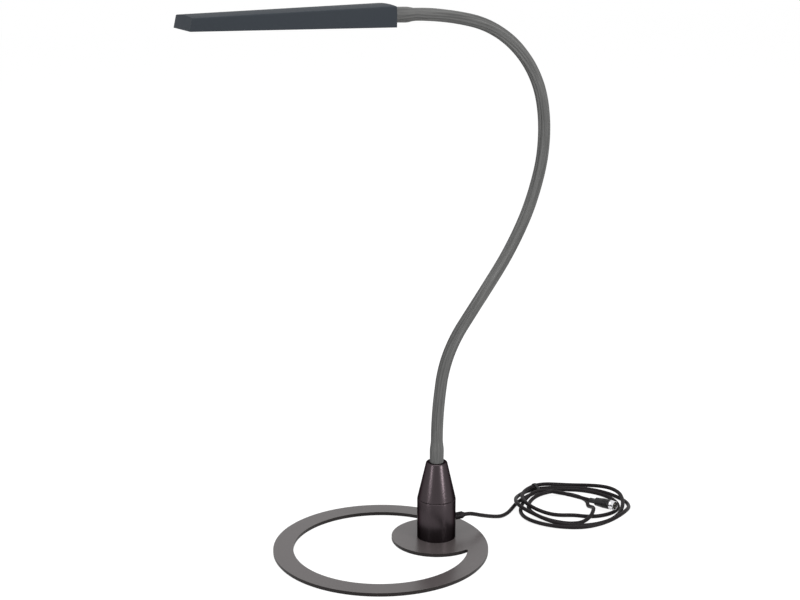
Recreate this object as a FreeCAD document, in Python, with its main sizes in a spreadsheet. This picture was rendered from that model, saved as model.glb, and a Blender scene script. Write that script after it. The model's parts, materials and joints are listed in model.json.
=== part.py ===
import FreeCAD, Part
import math
import os

import Sketcher

# Gooseneck desk lamp, in millimetres.
# The origin is on the axis of the boss, on the surface that the lamp stands on.
# +Z is up, the ring and the head lie towards -X, and the cord leaves towards +X.

SIZES = {
    # base plate: a ring with a disc inside it that touches the ring's outer edge
    "ring_radius": 110.0,
    "ring_width": 20.5,
    "disc_radius": 46.5,
    "slot_tip_round": 1.6,
    "plate_thickness": 3.0,
    "pad_thickness": 1.0,
    "pad_inset": 0.8,
    "base_screw_circle": 16.0,
    "base_screw_radius": 1.5,
    "base_screw_head_radius": 2.9,
    "base_screw_head_depth": 1.4,
    "base_screw_length": 12.0,
    "thread_gap": 0.05,
    # boss: a cylinder screwed to the disc, and a cone that turns on it
    "boss_radius": 20.0,
    "boss_height": 42.3,
    "boss_chamfer": 0.4,
    "cavity_radius": 12.0,
    "cavity_height": 26.0,
    "web_thickness": 5.0,
    "hub_radius": 12.0,
    "hub_gap": 0.3,
    "hub_end_gap": 1.0,
    "seam_gap": 0.4,
    "washer_play": 0.05,
    "washer_inset": 1.2,
    "cone_foot_radius": 19.7,
    "cone_rim_radius": 11.0,
    "cone_height": 39.3,
    "cone_rim_chamfer": 0.6,
    "ferrule_seat_depth": 24.0,
    "swivel_tube_radius": 5.0,
    "swivel_tube_bore": 3.5,
    "swivel_tube_drop": 5.6,
    "tube_gap": 0.4,
    "spring_washer_height": 1.2,
    "spring_washer_radius": 9.0,
    "nut_height": 4.0,
    "nut_flat_radius": 8.0,
    "stop_pin_circle": 8.5,
    "stop_pin_radius": 1.0,
    "stop_pin_seat": 3.0,
    "stop_pin_reach": 4.0,
    "stop_groove_gap": 0.4,
    "stop_groove_angle": 330.0,
    "grub_height": 74.0,
    "grub_radius": 2.0,
    "grub_length": 4.5,
    # cord outlet at the back of the boss
    "outlet_height": 17.7,
    "relief_radius": 3.8,
    "relief_reach": 32.5,
    "relief_neck_radius": 3.0,
    "relief_tail_radius": 2.8,
    "relief_tail_length": 2.2,
    "relief_flange_radius": 3.9,
    "relief_flange_thickness": 0.8,
    "relief_flange_place": 10.4,
    "lead_radius": 1.6,
    "lead_bend": 5.5,
    # neck: nine bowed sections between ten friction hinges
    "sleeve_radius": 6.2,
    "sleeve_bore": 4.4,
    "hose_radius": 4.3,
    "hose_bore": 2.6,
    "ball_gap": 0.05,
    "cup_gap": 0.2,
    "section_length": 61.3,
    "turn_1": -9.0,
    "turn_2": -27.5,
    "turn_3": 0.5,
    "turn_4": 10.0,
    "turn_5": 15.0,
    "turn_6": 21.5,
    "turn_7": 33.0,
    "turn_8": 32.5,
    "turn_9": 13.0,
    "ferrule_radius": 7.3,
    "ferrule_stand": 24.0,
    "ferrule_taper": 6.0,
    "head_ferrule_radius": 7.45,
    "head_ferrule_length": 31.0,
    "spigot_radius": 5.0,
    "spigot_length": 18.0,
    # head: a wedge with a flat underside
    "head_length": 200.0,
    "head_width": 47.0,
    "head_rear_height": 20.0,
    "head_tip_height": 12.1,
    "head_neck_height": 9.9,
    "head_tip_rake": 2.5,
    "head_wall": 1.6,
    "head_rear_round": 4.5,
    "head_edge_round": 1.6,
    "floor_recess": 0.3,
    "floor_thickness": 1.6,
    "floor_gap": 0.15,
    "window_start": 46.0,
    "window_tip_inset": 14.0,
    "window_width": 26.0,
    "diffuser_gap": 0.15,
    "diffuser_flange": 2.0,
    "diffuser_flange_thickness": 0.8,
    "channel_seat": 2.0,
    "channel_roof_gap": 0.9,
    "channel_wall": 1.2,
    "led_board_width": 10.0,
    "led_board_thickness": 1.0,
    "led_board_inset": 3.0,
    "led_length": 3.5,
    "led_width": 2.8,
    "led_height": 0.7,
    "led_count": 24.0,
    "driver_start": 24.0,
    "driver_length": 38.0,
    "driver_width": 24.0,
    "driver_thickness": 1.2,
    "driver_stand": 1.4,
    "chip_place": 13.0,
    "chip_length": 5.0,
    "chip_height": 1.2,
    "choke_place": 22.0,
    "choke_length": 7.0,
    "choke_height": 2.4,
    "terminal_place": 31.0,
    "terminal_length": 4.0,
    "terminal_width": 10.0,
    "terminal_height": 2.2,
    "wire_radius": 0.7,
    "wire_gap": 0.05,
    "neck_wire_across": 1.2,
    "neck_wire_start": 4.0,
    "neck_wire_landing": 4.0,
    "led_wire_across": 6.5,
    "led_wire_drop": 0.3,
    "led_wire_clear": 2.0,
    "led_wire_climb": 2.2,
    "spacer_radius": 1.5,
    "pillar_radius": 2.4,
    "pillar_side_gap": 0.7,
    "pillar_rear_place": 12.0,
    "pillar_tip_inset": 8.0,
    "head_screw_radius": 1.0,
    "head_screw_head_radius": 1.9,
    "head_screw_head_depth": 0.9,
    "head_screw_length": 5.5,
    "socket_length": 18.2,
    "socket_width": 20.0,
    "socket_roof_gap": 0.5,
    "socket_floor_gap": 0.1,
    "socket_screw_radius": 1.5,
    # switch: a button in the underside, held out by a spring
    "button_place": 31.0,
    "button_radius": 3.8,
    "button_gap": 0.25,
    "button_flange_radius": 4.8,
    "button_flange_thickness": 0.8,
    "button_stem_radius": 1.4,
    "button_travel": 0.5,
    "button_stop_gap": 0.15,
    "button_seat_gap": 0.05,
    "switch_body": 6.0,
    "switch_body_height": 2.6,
    "switch_plunger_radius": 1.6,
    "switch_plunger_height": 0.5,
    "spring_radius": 2.3,
    "spring_wire_radius": 0.2,
    "spring_turns": 3.0,
    # cord and connector
    "cord_radius": 2.1,
    "coil_centre_x": 171.5,
    "coil_centre_y": 13.0,
    "coil_start_angle": 154.7,
    "tie_gap": 0.2,
    "tie_thickness": 0.6,
    "tie_width": 3.5,
    "connector_tail_length": 7.0,
    "connector_tail_radius": 2.9,
    "connector_grip_foot_radius": 4.6,
    "connector_grip_radius": 5.3,
    "connector_grip_length": 20.5,
    "connector_groove_depth": 0.5,
    "connector_edge_chamfer": 0.6,
    "connector_foot_taper": 1.2,
    "connector_collar_radius": 5.1,
    "connector_collar_length": 1.7,
    "connector_shell_radius": 4.75,
    "connector_shell_wall": 0.5,
    "connector_shell_length": 4.0,
    "connector_shell_floor": 1.0,
    "connector_insert_length": 2.2,
    "connector_pin_radius": 0.5,
    "connector_pin_length": 2.9,
    "connector_pin_circle": 2.2,
    "connector_pin_count": 4.0,
}

NECK_SECTIONS = 9
BASE_SCREWS = 3

# The cord's waypoints, chosen on the photograph. The lead drops from the boss to the table.
LEAD_ROUTE = ((38.0, 0.0, 21.7), (45.0, 0.8, 19.6), (54.0, 3.6, 15.6), (66.0, 9.4, 10.2),
              (78.0, 14.6, 5.4), (88.5, 18.6, 2.6), (100.0, 25.2, 2.1))
# The coil: degrees turned about its centre, reach from the centre, height of the cord's middle.
COIL_ROUTE = (
    (-6, 64.5, 2.1), (25, 53.0, 2.4), (50, 49.5, 3.2), (90, 46.0, 2.3), (180, 52.0, 2.1),
    (235, 37.0, 2.1), (270, 27.0, 2.4), (310, 35.0, 3.0), (355, 50.5, 7.9), (385, 55.5, 8.2),
    (410, 57.0, 8.0), (455, 60.5, 2.1), (510, 61.0, 8.0), (540, 56.5, 6.0), (572, 54.5, 2.1),
    (630, 55.5, 2.3), (680, 54.0, 6.2), (715, 60.5, 8.4), (745, 60.0, 4.3), (770, 57.5, 3.3),
    (810, 52.0, 2.1), (870, 58.0, 2.3), (900, 63.0, 3.2), (928, 61.5, 7.3), (990, 60.5, 2.4),
    (1040, 64.5, 3.3), (1075, 55.0, 2.1), (1118, 44.8, 7.8), (1165, 34.5, 2.1),
    (1215, 24.5, 2.1), (1260, 18.5, 2.1), (1308, 32.5, 7.3), (1350, 50.0, 2.2),
    (1395, 49.0, 2.8), (1430, 47.5, 2.2), (1470, 41.0, 5.2), (1505, 32.0, 7.6))
TIED_TURNS = (50, 410, 770)
CONNECTOR_TAIL = (191.9, 6.7, 7.4)
CONNECTOR_END = (204.6, -24.0, 9.9)
EXPECTED_SOLIDS = {"base_screws": BASE_SCREWS, "board_spacers": 4, "head_screws": 4,
                   "socket_screws": 2, "neck_wires": 2, "led_wires": 2}

doc = FreeCAD.newDocument("GooseneckDeskLamp")
sheet = doc.addObject("Spreadsheet::Sheet", "Sizes")
for row, (alias, number) in enumerate(SIZES.items(), start=1):
    sheet.set(f"A{row}", alias)
    sheet.set(f"B{row}", str(number))
    sheet.setAlias(f"B{row}", alias)
doc.recompute()

X = FreeCAD.Vector(1, 0, 0)
Y = FreeCAD.Vector(0, 1, 0)
Z = FreeCAD.Vector(0, 0, 1)
nodes = {}


class Size:
    """A length that is a number and also the formula over the sheet that gives it."""

    def __init__(self, formula, number):
        self.formula = formula
        self.number = number

    def __add__(self, other):
        other = as_size(other)
        return Size(f"({self.formula} + {other.formula})", self.number + other.number)

    def __sub__(self, other):
        other = as_size(other)
        return Size(f"({self.formula} - {other.formula})", self.number - other.number)

    def __mul__(self, other):
        other = as_size(other)
        return Size(f"({self.formula} * {other.formula})", self.number * other.number)

    def __truediv__(self, other):
        other = as_size(other)
        return Size(f"({self.formula} / {other.formula})", self.number / other.number)

    def __neg__(self):
        return Size(f"(0 - {self.formula})", -self.number)

    def __float__(self):
        return float(self.number)


def as_size(value):
    """A plain number becomes a size whose formula is that number."""
    if isinstance(value, Size):
        return value
    return Size(repr(float(value)), float(value))


def cell(alias):
    """The sheet's cell with this alias."""
    return Size(f"Sizes.{alias}", float(sheet.get(alias)))


def bind(thing, path, value):
    """Ties one property of an object to the sheet."""
    thing.setExpression(path, as_size(value).formula)


def keep(label, thing):
    """Names a finished piece as a node of its own."""
    thing.Label = label
    nodes[label] = thing
    return thing


# Sketches and features


def new_body(label):
    return doc.addObject("PartDesign::Body", label)


def new_sketch(body, plane, offset=0.0):
    """A sketch on one of the body's own origin planes, moved along the plane's normal."""
    sketch = body.newObject("Sketcher::SketchObject", body.Name + "_sketch")
    origin_plane = [item for item in body.Origin.OriginFeatures if item.Role == plane][0]
    sketch.AttachmentSupport = [(origin_plane, "")]
    sketch.MapMode = "FlatFace"
    if as_size(offset).number != 0.0:
        bind(sketch, ".AttachmentOffset.Base.z", offset)
    return sketch


def fix_point(sketch, geometry, point, x, y):
    """Holds one point of a sketch at a place that the sheet gives."""
    for kind, value, axis in (("DistanceX", as_size(x), -2), ("DistanceY", as_size(y), -1)):
        if abs(value.number) < 1e-9:
            sketch.addConstraint(Sketcher.Constraint("PointOnObject", geometry, point, axis))
            continue
        if value.number > 0:
            rule = Sketcher.Constraint(kind, -1, 1, geometry, point, value.number)
        else:
            value = -value
            rule = Sketcher.Constraint(kind, geometry, point, -1, 1, value.number)
        index = sketch.addConstraint(rule)
        bind(sketch, f"Constraints[{index}]", value)


def add_outline(sketch, points):
    """A closed outline of straight lines through the points."""
    corners = [FreeCAD.Vector(float(as_size(x)), float(as_size(y)), 0) for x, y in points]
    first = sketch.GeometryCount
    count = len(points)
    for index in range(count):
        line = Part.LineSegment(corners[index], corners[(index + 1) % count])
        sketch.addGeometry(line, False)
    for index in range(count):
        following = first + (index + 1) % count
        sketch.addConstraint(Sketcher.Constraint("Coincident", first + index, 2, following, 1))
    for index, (x, y) in enumerate(points):
        fix_point(sketch, first + index, 1, x, y)


def add_circle(sketch, radius, x=0.0, y=0.0):
    centre = FreeCAD.Vector(float(as_size(x)), float(as_size(y)), 0)
    circle = Part.Circle(centre, Z, float(as_size(radius)))
    geometry = sketch.addGeometry(circle, False)
    fix_point(sketch, geometry, 3, x, y)
    index = sketch.addConstraint(Sketcher.Constraint("Radius", geometry, float(as_size(radius))))
    bind(sketch, f"Constraints[{index}]", radius)


def add_box(sketch, low_x, low_y, high_x, high_y):
    add_outline(sketch, [(low_x, low_y), (high_x, low_y), (high_x, high_y), (low_x, high_y)])


def turned(label, outline):
    """A piece turned on a lathe about its own Z axis, from an outline of radius and height."""
    body = new_body(label)
    sketch = new_sketch(body, "XZ_Plane")
    add_outline(sketch, outline)
    turning = body.newObject("PartDesign::Revolution", label + "_turning")
    turning.Profile = sketch
    turning.ReferenceAxis = (sketch, ["V_Axis"])
    turning.Angle = 360
    body.Tip = turning
    doc.recompute()
    return body


def pad(body, sketch, length, symmetric=False):
    feature = body.newObject("PartDesign::Pad", body.Name + "_pad")
    feature.Profile = sketch
    bind(feature, "Length", length)
    if symmetric:
        feature.SideType = "Symmetric"
    body.Tip = feature
    doc.recompute()
    return feature


def pocket(body, sketch, length=None, upward=True, symmetric=False):
    """Cuts a sketch out of a body, right through where no length is given."""
    before = body.Shape.Volume
    feature = body.newObject("PartDesign::Pocket", body.Name + "_pocket")
    feature.Profile = sketch
    if length is None:
        feature.Type = "ThroughAll"
        feature.SideType = "Symmetric"
    else:
        bind(feature, "Length", length)
        feature.Reversed = upward
        if symmetric:
            feature.SideType = "Symmetric"
    body.Tip = feature
    doc.recompute()
    if body.Shape.Volume > before - 1e-3:
        raise RuntimeError(f"{body.Label}: a pocket cut nothing")
    return feature


def fillet(body, radius, chosen):
    """Rounds the edges that chosen(edge) picks."""
    picked = [f"Edge{number}" for number, edge in enumerate(body.Shape.Edges, start=1)
              if chosen(edge)]
    solid = body.Tip
    feature = body.newObject("PartDesign::Fillet", body.Name + "_fillet")
    feature.Base = (solid, picked)
    bind(feature, "Radius", radius)
    body.Tip = feature
    doc.recompute()
    return feature


# Part primitives


def primitive(kind, label, **values):
    thing = doc.addObject(kind, label)
    for name, value in values.items():
        bind(thing, name, value)
    return thing


def join(label, pieces):
    thing = doc.addObject("Part::MultiFuse", label)
    thing.Shapes = pieces
    return thing


def cut(label, base, tool):
    thing = doc.addObject("Part::Cut", label)
    thing.Base = base
    thing.Tool = tool
    return thing


def common(label, pieces):
    thing = doc.addObject("Part::MultiCommon", label)
    thing.Shapes = pieces
    return thing


def group(label, pieces):
    """Identical pieces that share one node."""
    thing = doc.addObject("Part::Compound", label)
    thing.Links = pieces
    return keep(label, thing)


def frame_of(place, x_axis, y_axis):
    """A placement from an origin and two axes square to each other."""
    z_axis = x_axis.cross(y_axis)
    matrix = FreeCAD.Matrix(x_axis.x, y_axis.x, z_axis.x, place.x,
                            x_axis.y, y_axis.y, z_axis.y, place.y,
                            x_axis.z, y_axis.z, z_axis.z, place.z,
                            0, 0, 0, 1)
    return FreeCAD.Placement(matrix)


def frame_along(place, direction):
    """A placement whose Z axis runs along the direction."""
    return FreeCAD.Placement(place, FreeCAD.Rotation(Z, direction))


# Heights of the base and the boss

plate_bottom = cell("pad_thickness")
plate_top = plate_bottom + cell("plate_thickness")
web_bottom = plate_top + cell("cavity_height")
web_top = web_bottom + cell("web_thickness")
boss_top = plate_top + cell("boss_height")
cone_bottom = boss_top + cell("seam_gap")
cone_top = cone_bottom + cell("cone_height")
hub_bottom = web_top + cell("hub_end_gap")
ferrule_foot = cone_top - cell("ferrule_seat_depth")
outlet_z = plate_top + cell("outlet_height")
disc_offset = cell("ring_radius") - cell("disc_radius")


def spiral_plate(label, bottom, thickness, inset):
    """The ring and disc in one sheet: a round plate with a crescent cut out of it."""
    outer = cell("ring_radius") - inset
    opening = cell("ring_radius") - cell("ring_width") + inset
    disc = cell("disc_radius") - inset
    body = new_body(label)
    sketch = new_sketch(body, "XY_Plane", bottom)
    add_circle(sketch, outer, -disc_offset, 0.0)
    pad(body, sketch, thickness)
    # the crescent: an arc about the ring's centre, one about the disc's, and two round tips
    offset = float(disc_offset)
    reach = float(opening)
    inner = float(disc)
    tip = float(cell("slot_tip_round"))
    tip_x = ((reach - tip) ** 2 - (inner + tip) ** 2 - offset ** 2) / (2 * offset)
    tip_y = math.sqrt((inner + tip) ** 2 - tip_x ** 2)
    ring_end = math.atan2(tip_y, tip_x + offset)
    disc_end = math.atan2(tip_y, tip_x)
    crescent = new_sketch(body, "XY_Plane", bottom)
    arcs = ((-offset, 0.0, reach, ring_end, 2 * math.pi - ring_end),
            (0.0, 0.0, inner, disc_end, 2 * math.pi - disc_end),
            (tip_x, tip_y, tip, disc_end + math.pi, ring_end + 2 * math.pi),
            (tip_x, -tip_y, tip, -ring_end, math.pi - disc_end))
    for centre_x, centre_y, radius, start, end in arcs:
        circle = Part.Circle(FreeCAD.Vector(centre_x, centre_y, 0), Z, radius)
        crescent.addGeometry(Part.ArcOfCircle(circle, start, end), False)
    for first, first_end, second, second_end in ((0, 1, 2, 2), (2, 1, 1, 1), (0, 2, 3, 1),
                                                 (3, 2, 1, 2)):
        crescent.addConstraint(Sketcher.Constraint("Tangent", first, first_end, second,
                                                   second_end))
    fix_point(crescent, 0, 3, -disc_offset, 0.0)
    crescent.addConstraint(Sketcher.Constraint("Coincident", 1, 3, -1, 1))
    for geometry, radius in ((0, opening), (1, disc), (2, cell("slot_tip_round")),
                             (3, cell("slot_tip_round"))):
        rule = Sketcher.Constraint("Radius", geometry, float(radius))
        bind(crescent, f"Constraints[{crescent.addConstraint(rule)}]", radius)
    pocket(body, crescent)
    return body


def screw_spots(radius, count, first_angle):
    """Places on a circle about the boss axis, as pairs of sizes."""
    spots = []
    for index in range(count):
        angle = math.radians(first_angle + 360.0 * index / count)
        spots.append((radius * math.cos(angle), radius * math.sin(angle)))
    return spots


BASE_SCREW_SPOTS = screw_spots(cell("base_screw_circle"), BASE_SCREWS, 60.0)


def countersunk_screw(label, head_radius, head_depth, shank_radius, length):
    """A screw that points up from its flat head, with its head's face at height zero."""
    return turned(label, [(0.0, 0.0), (head_radius, 0.0), (shank_radius, head_depth),
                          (shank_radius, length), (0.0, length)])


def build_base():
    plate = spiral_plate("base_plate", plate_bottom, cell("plate_thickness"), as_size(0.0))
    holes = new_sketch(plate, "XY_Plane", plate_bottom)
    for x, y in BASE_SCREW_SPOTS:
        add_circle(holes, cell("base_screw_radius") + cell("thread_gap") * 4, x, y)
    pocket(plate, holes)
    sinks = new_sketch(plate, "XY_Plane", plate_bottom)
    for x, y in BASE_SCREW_SPOTS:
        add_circle(sinks, cell("base_screw_head_radius") + cell("thread_gap") * 4, x, y)
    pocket(plate, sinks, cell("base_screw_head_depth") + cell("thread_gap"))
    keep("base_plate", plate)
    keep("base_pad", spiral_plate("base_pad", as_size(0.0), cell("pad_thickness"),
                                  cell("pad_inset")))
    screws = []
    for index, (x, y) in enumerate(BASE_SCREW_SPOTS, start=1):
        screw = countersunk_screw(f"base_screw_{index}", cell("base_screw_head_radius"),
                                  cell("base_screw_head_depth"), cell("base_screw_radius"),
                                  cell("base_screw_length"))
        bind(screw, ".Placement.Base.x", x)
        bind(screw, ".Placement.Base.y", y)
        bind(screw, ".Placement.Base.z", plate_bottom)
        screws.append(screw)
    group("base_screws", screws)


def build_boss():
    radius = cell("boss_radius")
    chamfer = cell("boss_chamfer")
    bore = cell("hub_radius") + cell("hub_gap")
    tube_hole = cell("swivel_tube_radius") + cell("tube_gap")
    boss = turned("boss_body", [
        (tube_hole, web_bottom), (cell("cavity_radius"), web_bottom),
        (cell("cavity_radius"), plate_top), (radius, plate_top),
        (radius, boss_top - chamfer), (radius - chamfer, boss_top),
        (bore, boss_top), (bore, web_top), (tube_hole, web_top)])
    outlet = new_sketch(boss, "YZ_Plane")
    add_circle(outlet, cell("relief_neck_radius") + cell("thread_gap"), 0.0, outlet_z)
    pocket(boss, outlet, radius + 1.0)
    taps = new_sketch(boss, "XY_Plane", plate_top)
    for x, y in BASE_SCREW_SPOTS:
        add_circle(taps, cell("base_screw_radius") + cell("thread_gap"), x, y)
    pocket(boss, taps, cell("base_screw_length"))
    pin_seat = new_sketch(boss, "XY_Plane", web_top)
    add_circle(pin_seat, cell("stop_pin_radius"), cell("stop_pin_circle"), 0.0)
    pocket(boss, pin_seat, cell("stop_pin_seat"), upward=False)
    keep("boss_body", boss)

    pin = primitive("Part::Cylinder", "stop_pin", Radius=cell("stop_pin_radius"),
                    Height=cell("stop_pin_seat") + cell("stop_pin_reach"))
    bind(pin, ".Placement.Base.x", cell("stop_pin_circle"))
    bind(pin, ".Placement.Base.z", web_top - cell("stop_pin_seat"))
    keep("stop_pin", pin)

    inset = cell("washer_inset")
    keep("swivel_washer", turned("swivel_washer", [
        (bore + inset / 3, boss_top), (radius - inset, boss_top),
        (radius - inset, cone_bottom - cell("washer_play")),
        (bore + inset / 3, cone_bottom - cell("washer_play"))]))


def build_cone():
    foot = cell("cone_foot_radius")
    rim = cell("cone_rim_radius")
    chamfer = cell("cone_rim_chamfer")
    seat = cell("ferrule_radius") + cell("thread_gap")
    grip = cell("swivel_tube_radius")
    cone = turned("boss_cone", [
        (grip, hub_bottom), (cell("hub_radius"), hub_bottom),
        (cell("hub_radius"), cone_bottom), (foot - chamfer, cone_bottom),
        (foot, cone_bottom + chamfer), (rim, cone_top - chamfer),
        (rim - chamfer, cone_top), (seat, cone_top), (seat, ferrule_foot),
        (grip, ferrule_foot)])
    # the groove that the stop pin runs in leaves a wall opposite the pin
    track = new_sketch(cone, "XZ_Plane")
    half = cell("stop_pin_radius") + cell("stop_groove_gap")
    centre = cell("stop_pin_circle")
    add_box(track, centre - half, hub_bottom, centre + half,
            web_top + cell("stop_pin_reach") + cell("stop_groove_gap"))
    before = cone.Shape.Volume
    groove = cone.newObject("PartDesign::Groove", "boss_cone_groove")
    groove.Profile = track
    groove.ReferenceAxis = (track, ["V_Axis"])
    groove.Midplane = True
    bind(groove, "Angle", cell("stop_groove_angle"))
    cone.Tip = groove
    doc.recompute()
    if cone.Shape.Volume > before - 1.0:
        raise RuntimeError("the stop groove cut nothing")
    tap = new_sketch(cone, "XZ_Plane")
    add_circle(tap, cell("grub_radius") + cell("thread_gap"), 0.0, cell("grub_height"))
    pocket(cone, tap, cell("cone_foot_radius"), upward=False)
    keep("boss_cone", cone)

    grub = primitive("Part::Cylinder", "cone_grub_rod", Radius=cell("grub_radius"),
                     Height=cell("grub_length"))
    key = primitive("Part::Prism", "cone_grub_key", Circumradius=cell("grub_radius") / 2,
                    Height=cell("grub_length") / 2)
    key.Polygon = 6
    bind(key, ".Placement.Base.z", cell("grub_length") / 2)
    grub_screw = cut("cone_grub_screw", grub, key)
    grub_screw.Placement = frame_along(FreeCAD.Vector(0, float(seat + cell("thread_gap")),
                                                      float(cell("grub_height"))), Y)
    keep("cone_grub_screw", grub_screw)

    tube_foot = web_bottom - cell("swivel_tube_drop")
    bore = cell("swivel_tube_bore")
    keep("swivel_tube", turned("swivel_tube", [
        (bore, tube_foot), (grip, tube_foot), (grip, ferrule_foot), (bore, ferrule_foot)]))
    play = cell("washer_play")
    washer_foot = web_bottom - play - cell("spring_washer_height")
    reach = cell("spring_washer_radius")
    leaf = cell("spring_washer_height") / 2
    keep("spring_washer", turned("spring_washer", [
        (grip + play, washer_foot), (grip + play * 2, washer_foot), (reach, web_bottom - play - leaf),
        (reach, web_bottom - play), (grip + play, washer_foot + leaf)]))
    nut_blank = primitive("Part::Prism", "swivel_nut_blank",
                          Circumradius=cell("nut_flat_radius") * 1.1547,
                          Height=cell("nut_height"))
    nut_blank.Polygon = 6
    nut_hole = primitive("Part::Cylinder", "swivel_nut_hole", Radius=grip,
                         Height=cell("nut_height"))
    nut = cut("swivel_nut", nut_blank, nut_hole)
    bind(nut, ".Placement.Base.z", washer_foot - cell("nut_height"))
    keep("swivel_nut", nut)


def build_cord_outlet():
    """The moulded relief in the boss wall, and the lead that climbs inside the swivel tube."""
    neck = cell("relief_neck_radius")
    flange_place = cell("relief_flange_place")
    flange_end = flange_place + cell("relief_flange_thickness")
    reach = cell("relief_reach")
    barrel = cell("relief_radius")
    shoulder = cell("boss_radius")
    tail = reach - cell("relief_tail_length")
    relief = turned("strain_relief", [
        (0.0, flange_place), (cell("relief_flange_radius"), flange_place),
        (cell("relief_flange_radius"), flange_end), (neck, flange_end), (neck, shoulder),
        (barrel, shoulder), (barrel, tail), (cell("relief_tail_radius"), tail + 0.4),
        (cell("relief_tail_radius"), reach), (0.0, reach)])
    relief.Placement = frame_along(FreeCAD.Vector(0, 0, float(outlet_z)), X)
    keep("strain_relief", relief)

    level = float(outlet_z)
    bend = float(cell("lead_bend"))
    start = FreeCAD.Vector(float(flange_place), 0, level)
    corner = FreeCAD.Vector(bend, 0, level)
    middle = FreeCAD.Vector(bend - bend * math.sin(math.pi / 4), 0,
                            level + bend - bend * math.cos(math.pi / 4))
    turn_end = FreeCAD.Vector(0, 0, level + bend)
    top = FreeCAD.Vector(0, 0, float(ferrule_foot) - 1.0)
    path = Part.Wire([Part.LineSegment(start, corner).toShape(),
                      Part.Arc(corner, middle, turn_end).toShape(),
                      Part.LineSegment(turn_end, top).toShape()])
    lead = doc.addObject("Part::Feature", "inner_lead")
    lead.Shape = tube_along(path, float(cell("lead_radius")), start, -X)
    keep("inner_lead", lead)


def tube_along(path, radius, start, heading):
    """A solid round tube along a wire of lines and arcs."""
    circle = Part.Wire([Part.Circle(start, heading, radius).toShape()])
    return path.makePipeShell([circle], True, False)


# The neck's rest curve: one arc to a section, each tangent to the next


def neck_curve():
    """The hinge points and headings, in degrees from +X towards +Z, in the XZ plane."""
    place = FreeCAD.Vector(0, 0, float(cone_top + cell("ferrule_stand")))
    heading = 90.0
    hinges = [(place, heading)]
    run = float(cell("section_length"))
    for index in range(1, NECK_SECTIONS + 1):
        turn = float(cell(f"turn_{index}"))
        start = math.radians(heading)
        end = math.radians(heading + turn)
        if abs(turn) < 1e-6:
            step = FreeCAD.Vector(run * math.cos(start), 0, run * math.sin(start))
        else:
            bend = run / math.radians(turn)
            step = FreeCAD.Vector(bend * (math.sin(end) - math.sin(start)), 0,
                                  bend * (math.cos(start) - math.cos(end)))
        place = place + step
        heading = heading + turn
        hinges.append((place, heading))
    return hinges


def heading_vector(heading):
    angle = math.radians(heading)
    return FreeCAD.Vector(math.cos(angle), 0, math.sin(angle))


HINGES = neck_curve()
BALL = cell("sleeve_radius") - cell("ball_gap")
CUP = cell("sleeve_radius") + cell("cup_gap")


def bowed_rod(label, radius, place, heading, turn):
    """A round rod one section long, bowed by the section's turn."""
    if abs(turn) < 1e-6:
        rod = primitive("Part::Cylinder", label, Radius=radius, Height=cell("section_length"))
        rod.Placement = frame_along(place, heading_vector(heading))
        return rod
    bend = float(cell("section_length")) / math.radians(abs(turn))
    rod = primitive("Part::Torus", label, Radius1=bend, Radius2=radius, Angle3=abs(turn))
    forward = heading_vector(heading)
    side = heading_vector(heading - 90.0 if turn > 0 else heading + 90.0)
    rod.Placement = frame_of(place - side * bend, side, forward)
    return rod


def cup_sphere(label, place):
    ball = primitive("Part::Sphere", label, Radius=CUP)
    ball.Placement.Base = place
    return ball


def rounded_end(label, radius, place, heading):
    """The end of a section: a short rod trimmed by the ball about the next hinge."""
    direction = heading_vector(heading)
    rod = primitive("Part::Cylinder", label + "_rod", Radius=radius, Height=BALL)
    ball = primitive("Part::Sphere", label + "_ball", Radius=BALL)
    rod.Placement = frame_along(place, direction)
    ball.Placement.Base = place
    return common(label, [rod, ball])


def neck_section(label, index, radius, bore):
    """One layer of one neck section, hollow, with a cup at its foot and a ball at its end."""
    place, heading = HINGES[index - 1]
    end, end_heading = HINGES[index]
    turn = end_heading - heading
    outside = join(label + "_outside", [
        bowed_rod(label + "_rod", radius, place, heading, turn),
        rounded_end(label + "_end", radius, end, end_heading)])
    drill = primitive("Part::Cylinder", label + "_drill", Radius=bore, Height=BALL * 2)
    drill.Placement = frame_along(end, heading_vector(end_heading))
    inside = join(label + "_inside", [
        bowed_rod(label + "_hollow", bore, place, heading, turn), drill])
    pipe = cut(label + "_pipe", outside, inside)
    keep(label, cut(label, pipe, cup_sphere(label + "_cup", place)))


def build_neck():
    for index in range(1, NECK_SECTIONS + 1):
        neck_section(f"neck_sleeve_{index}", index, cell("sleeve_radius"), cell("sleeve_bore"))
        neck_section(f"neck_hose_{index}", index, cell("hose_radius"), cell("hose_bore"))


def build_ferrules():
    """The crimped ends: the lower one sits in the cone and the upper one enters the head."""
    bore = cell("hose_bore")
    hinge = cone_top + cell("ferrule_stand")
    taper = cell("ferrule_taper")
    barrel = turned("base_ferrule_barrel", [
        (bore, ferrule_foot), (cell("ferrule_radius"), ferrule_foot),
        (cell("ferrule_radius"), hinge - taper), (cell("sleeve_radius"), hinge), (bore, hinge)])
    end = rounded_end("base_ferrule_end", cell("sleeve_radius"), HINGES[0][0], 90.0)
    drill = primitive("Part::Cylinder", "base_ferrule_drill", Radius=bore, Height=BALL * 2)
    drill.Placement = frame_along(HINGES[0][0], Z)
    nose = cut("base_ferrule_nose", end, drill)
    keep("base_ferrule", join("base_ferrule", [barrel, nose]))

    place, heading = HINGES[-1]
    length = cell("head_ferrule_length")
    barrel = turned("head_ferrule_barrel", [
        (bore, 0.0), (cell("sleeve_radius"), 0.0), (cell("sleeve_radius"), CUP / 3),
        (cell("head_ferrule_radius"), CUP / 3 + taper),
        (cell("head_ferrule_radius"), length), (cell("spigot_radius"), length),
        (cell("spigot_radius"), length + cell("spigot_length")),
        (bore, length + cell("spigot_length"))])
    barrel.Placement = frame_along(place, heading_vector(heading))
    keep("head_ferrule", cut("head_ferrule", barrel, cup_sphere("head_ferrule_cup", place)))


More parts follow.
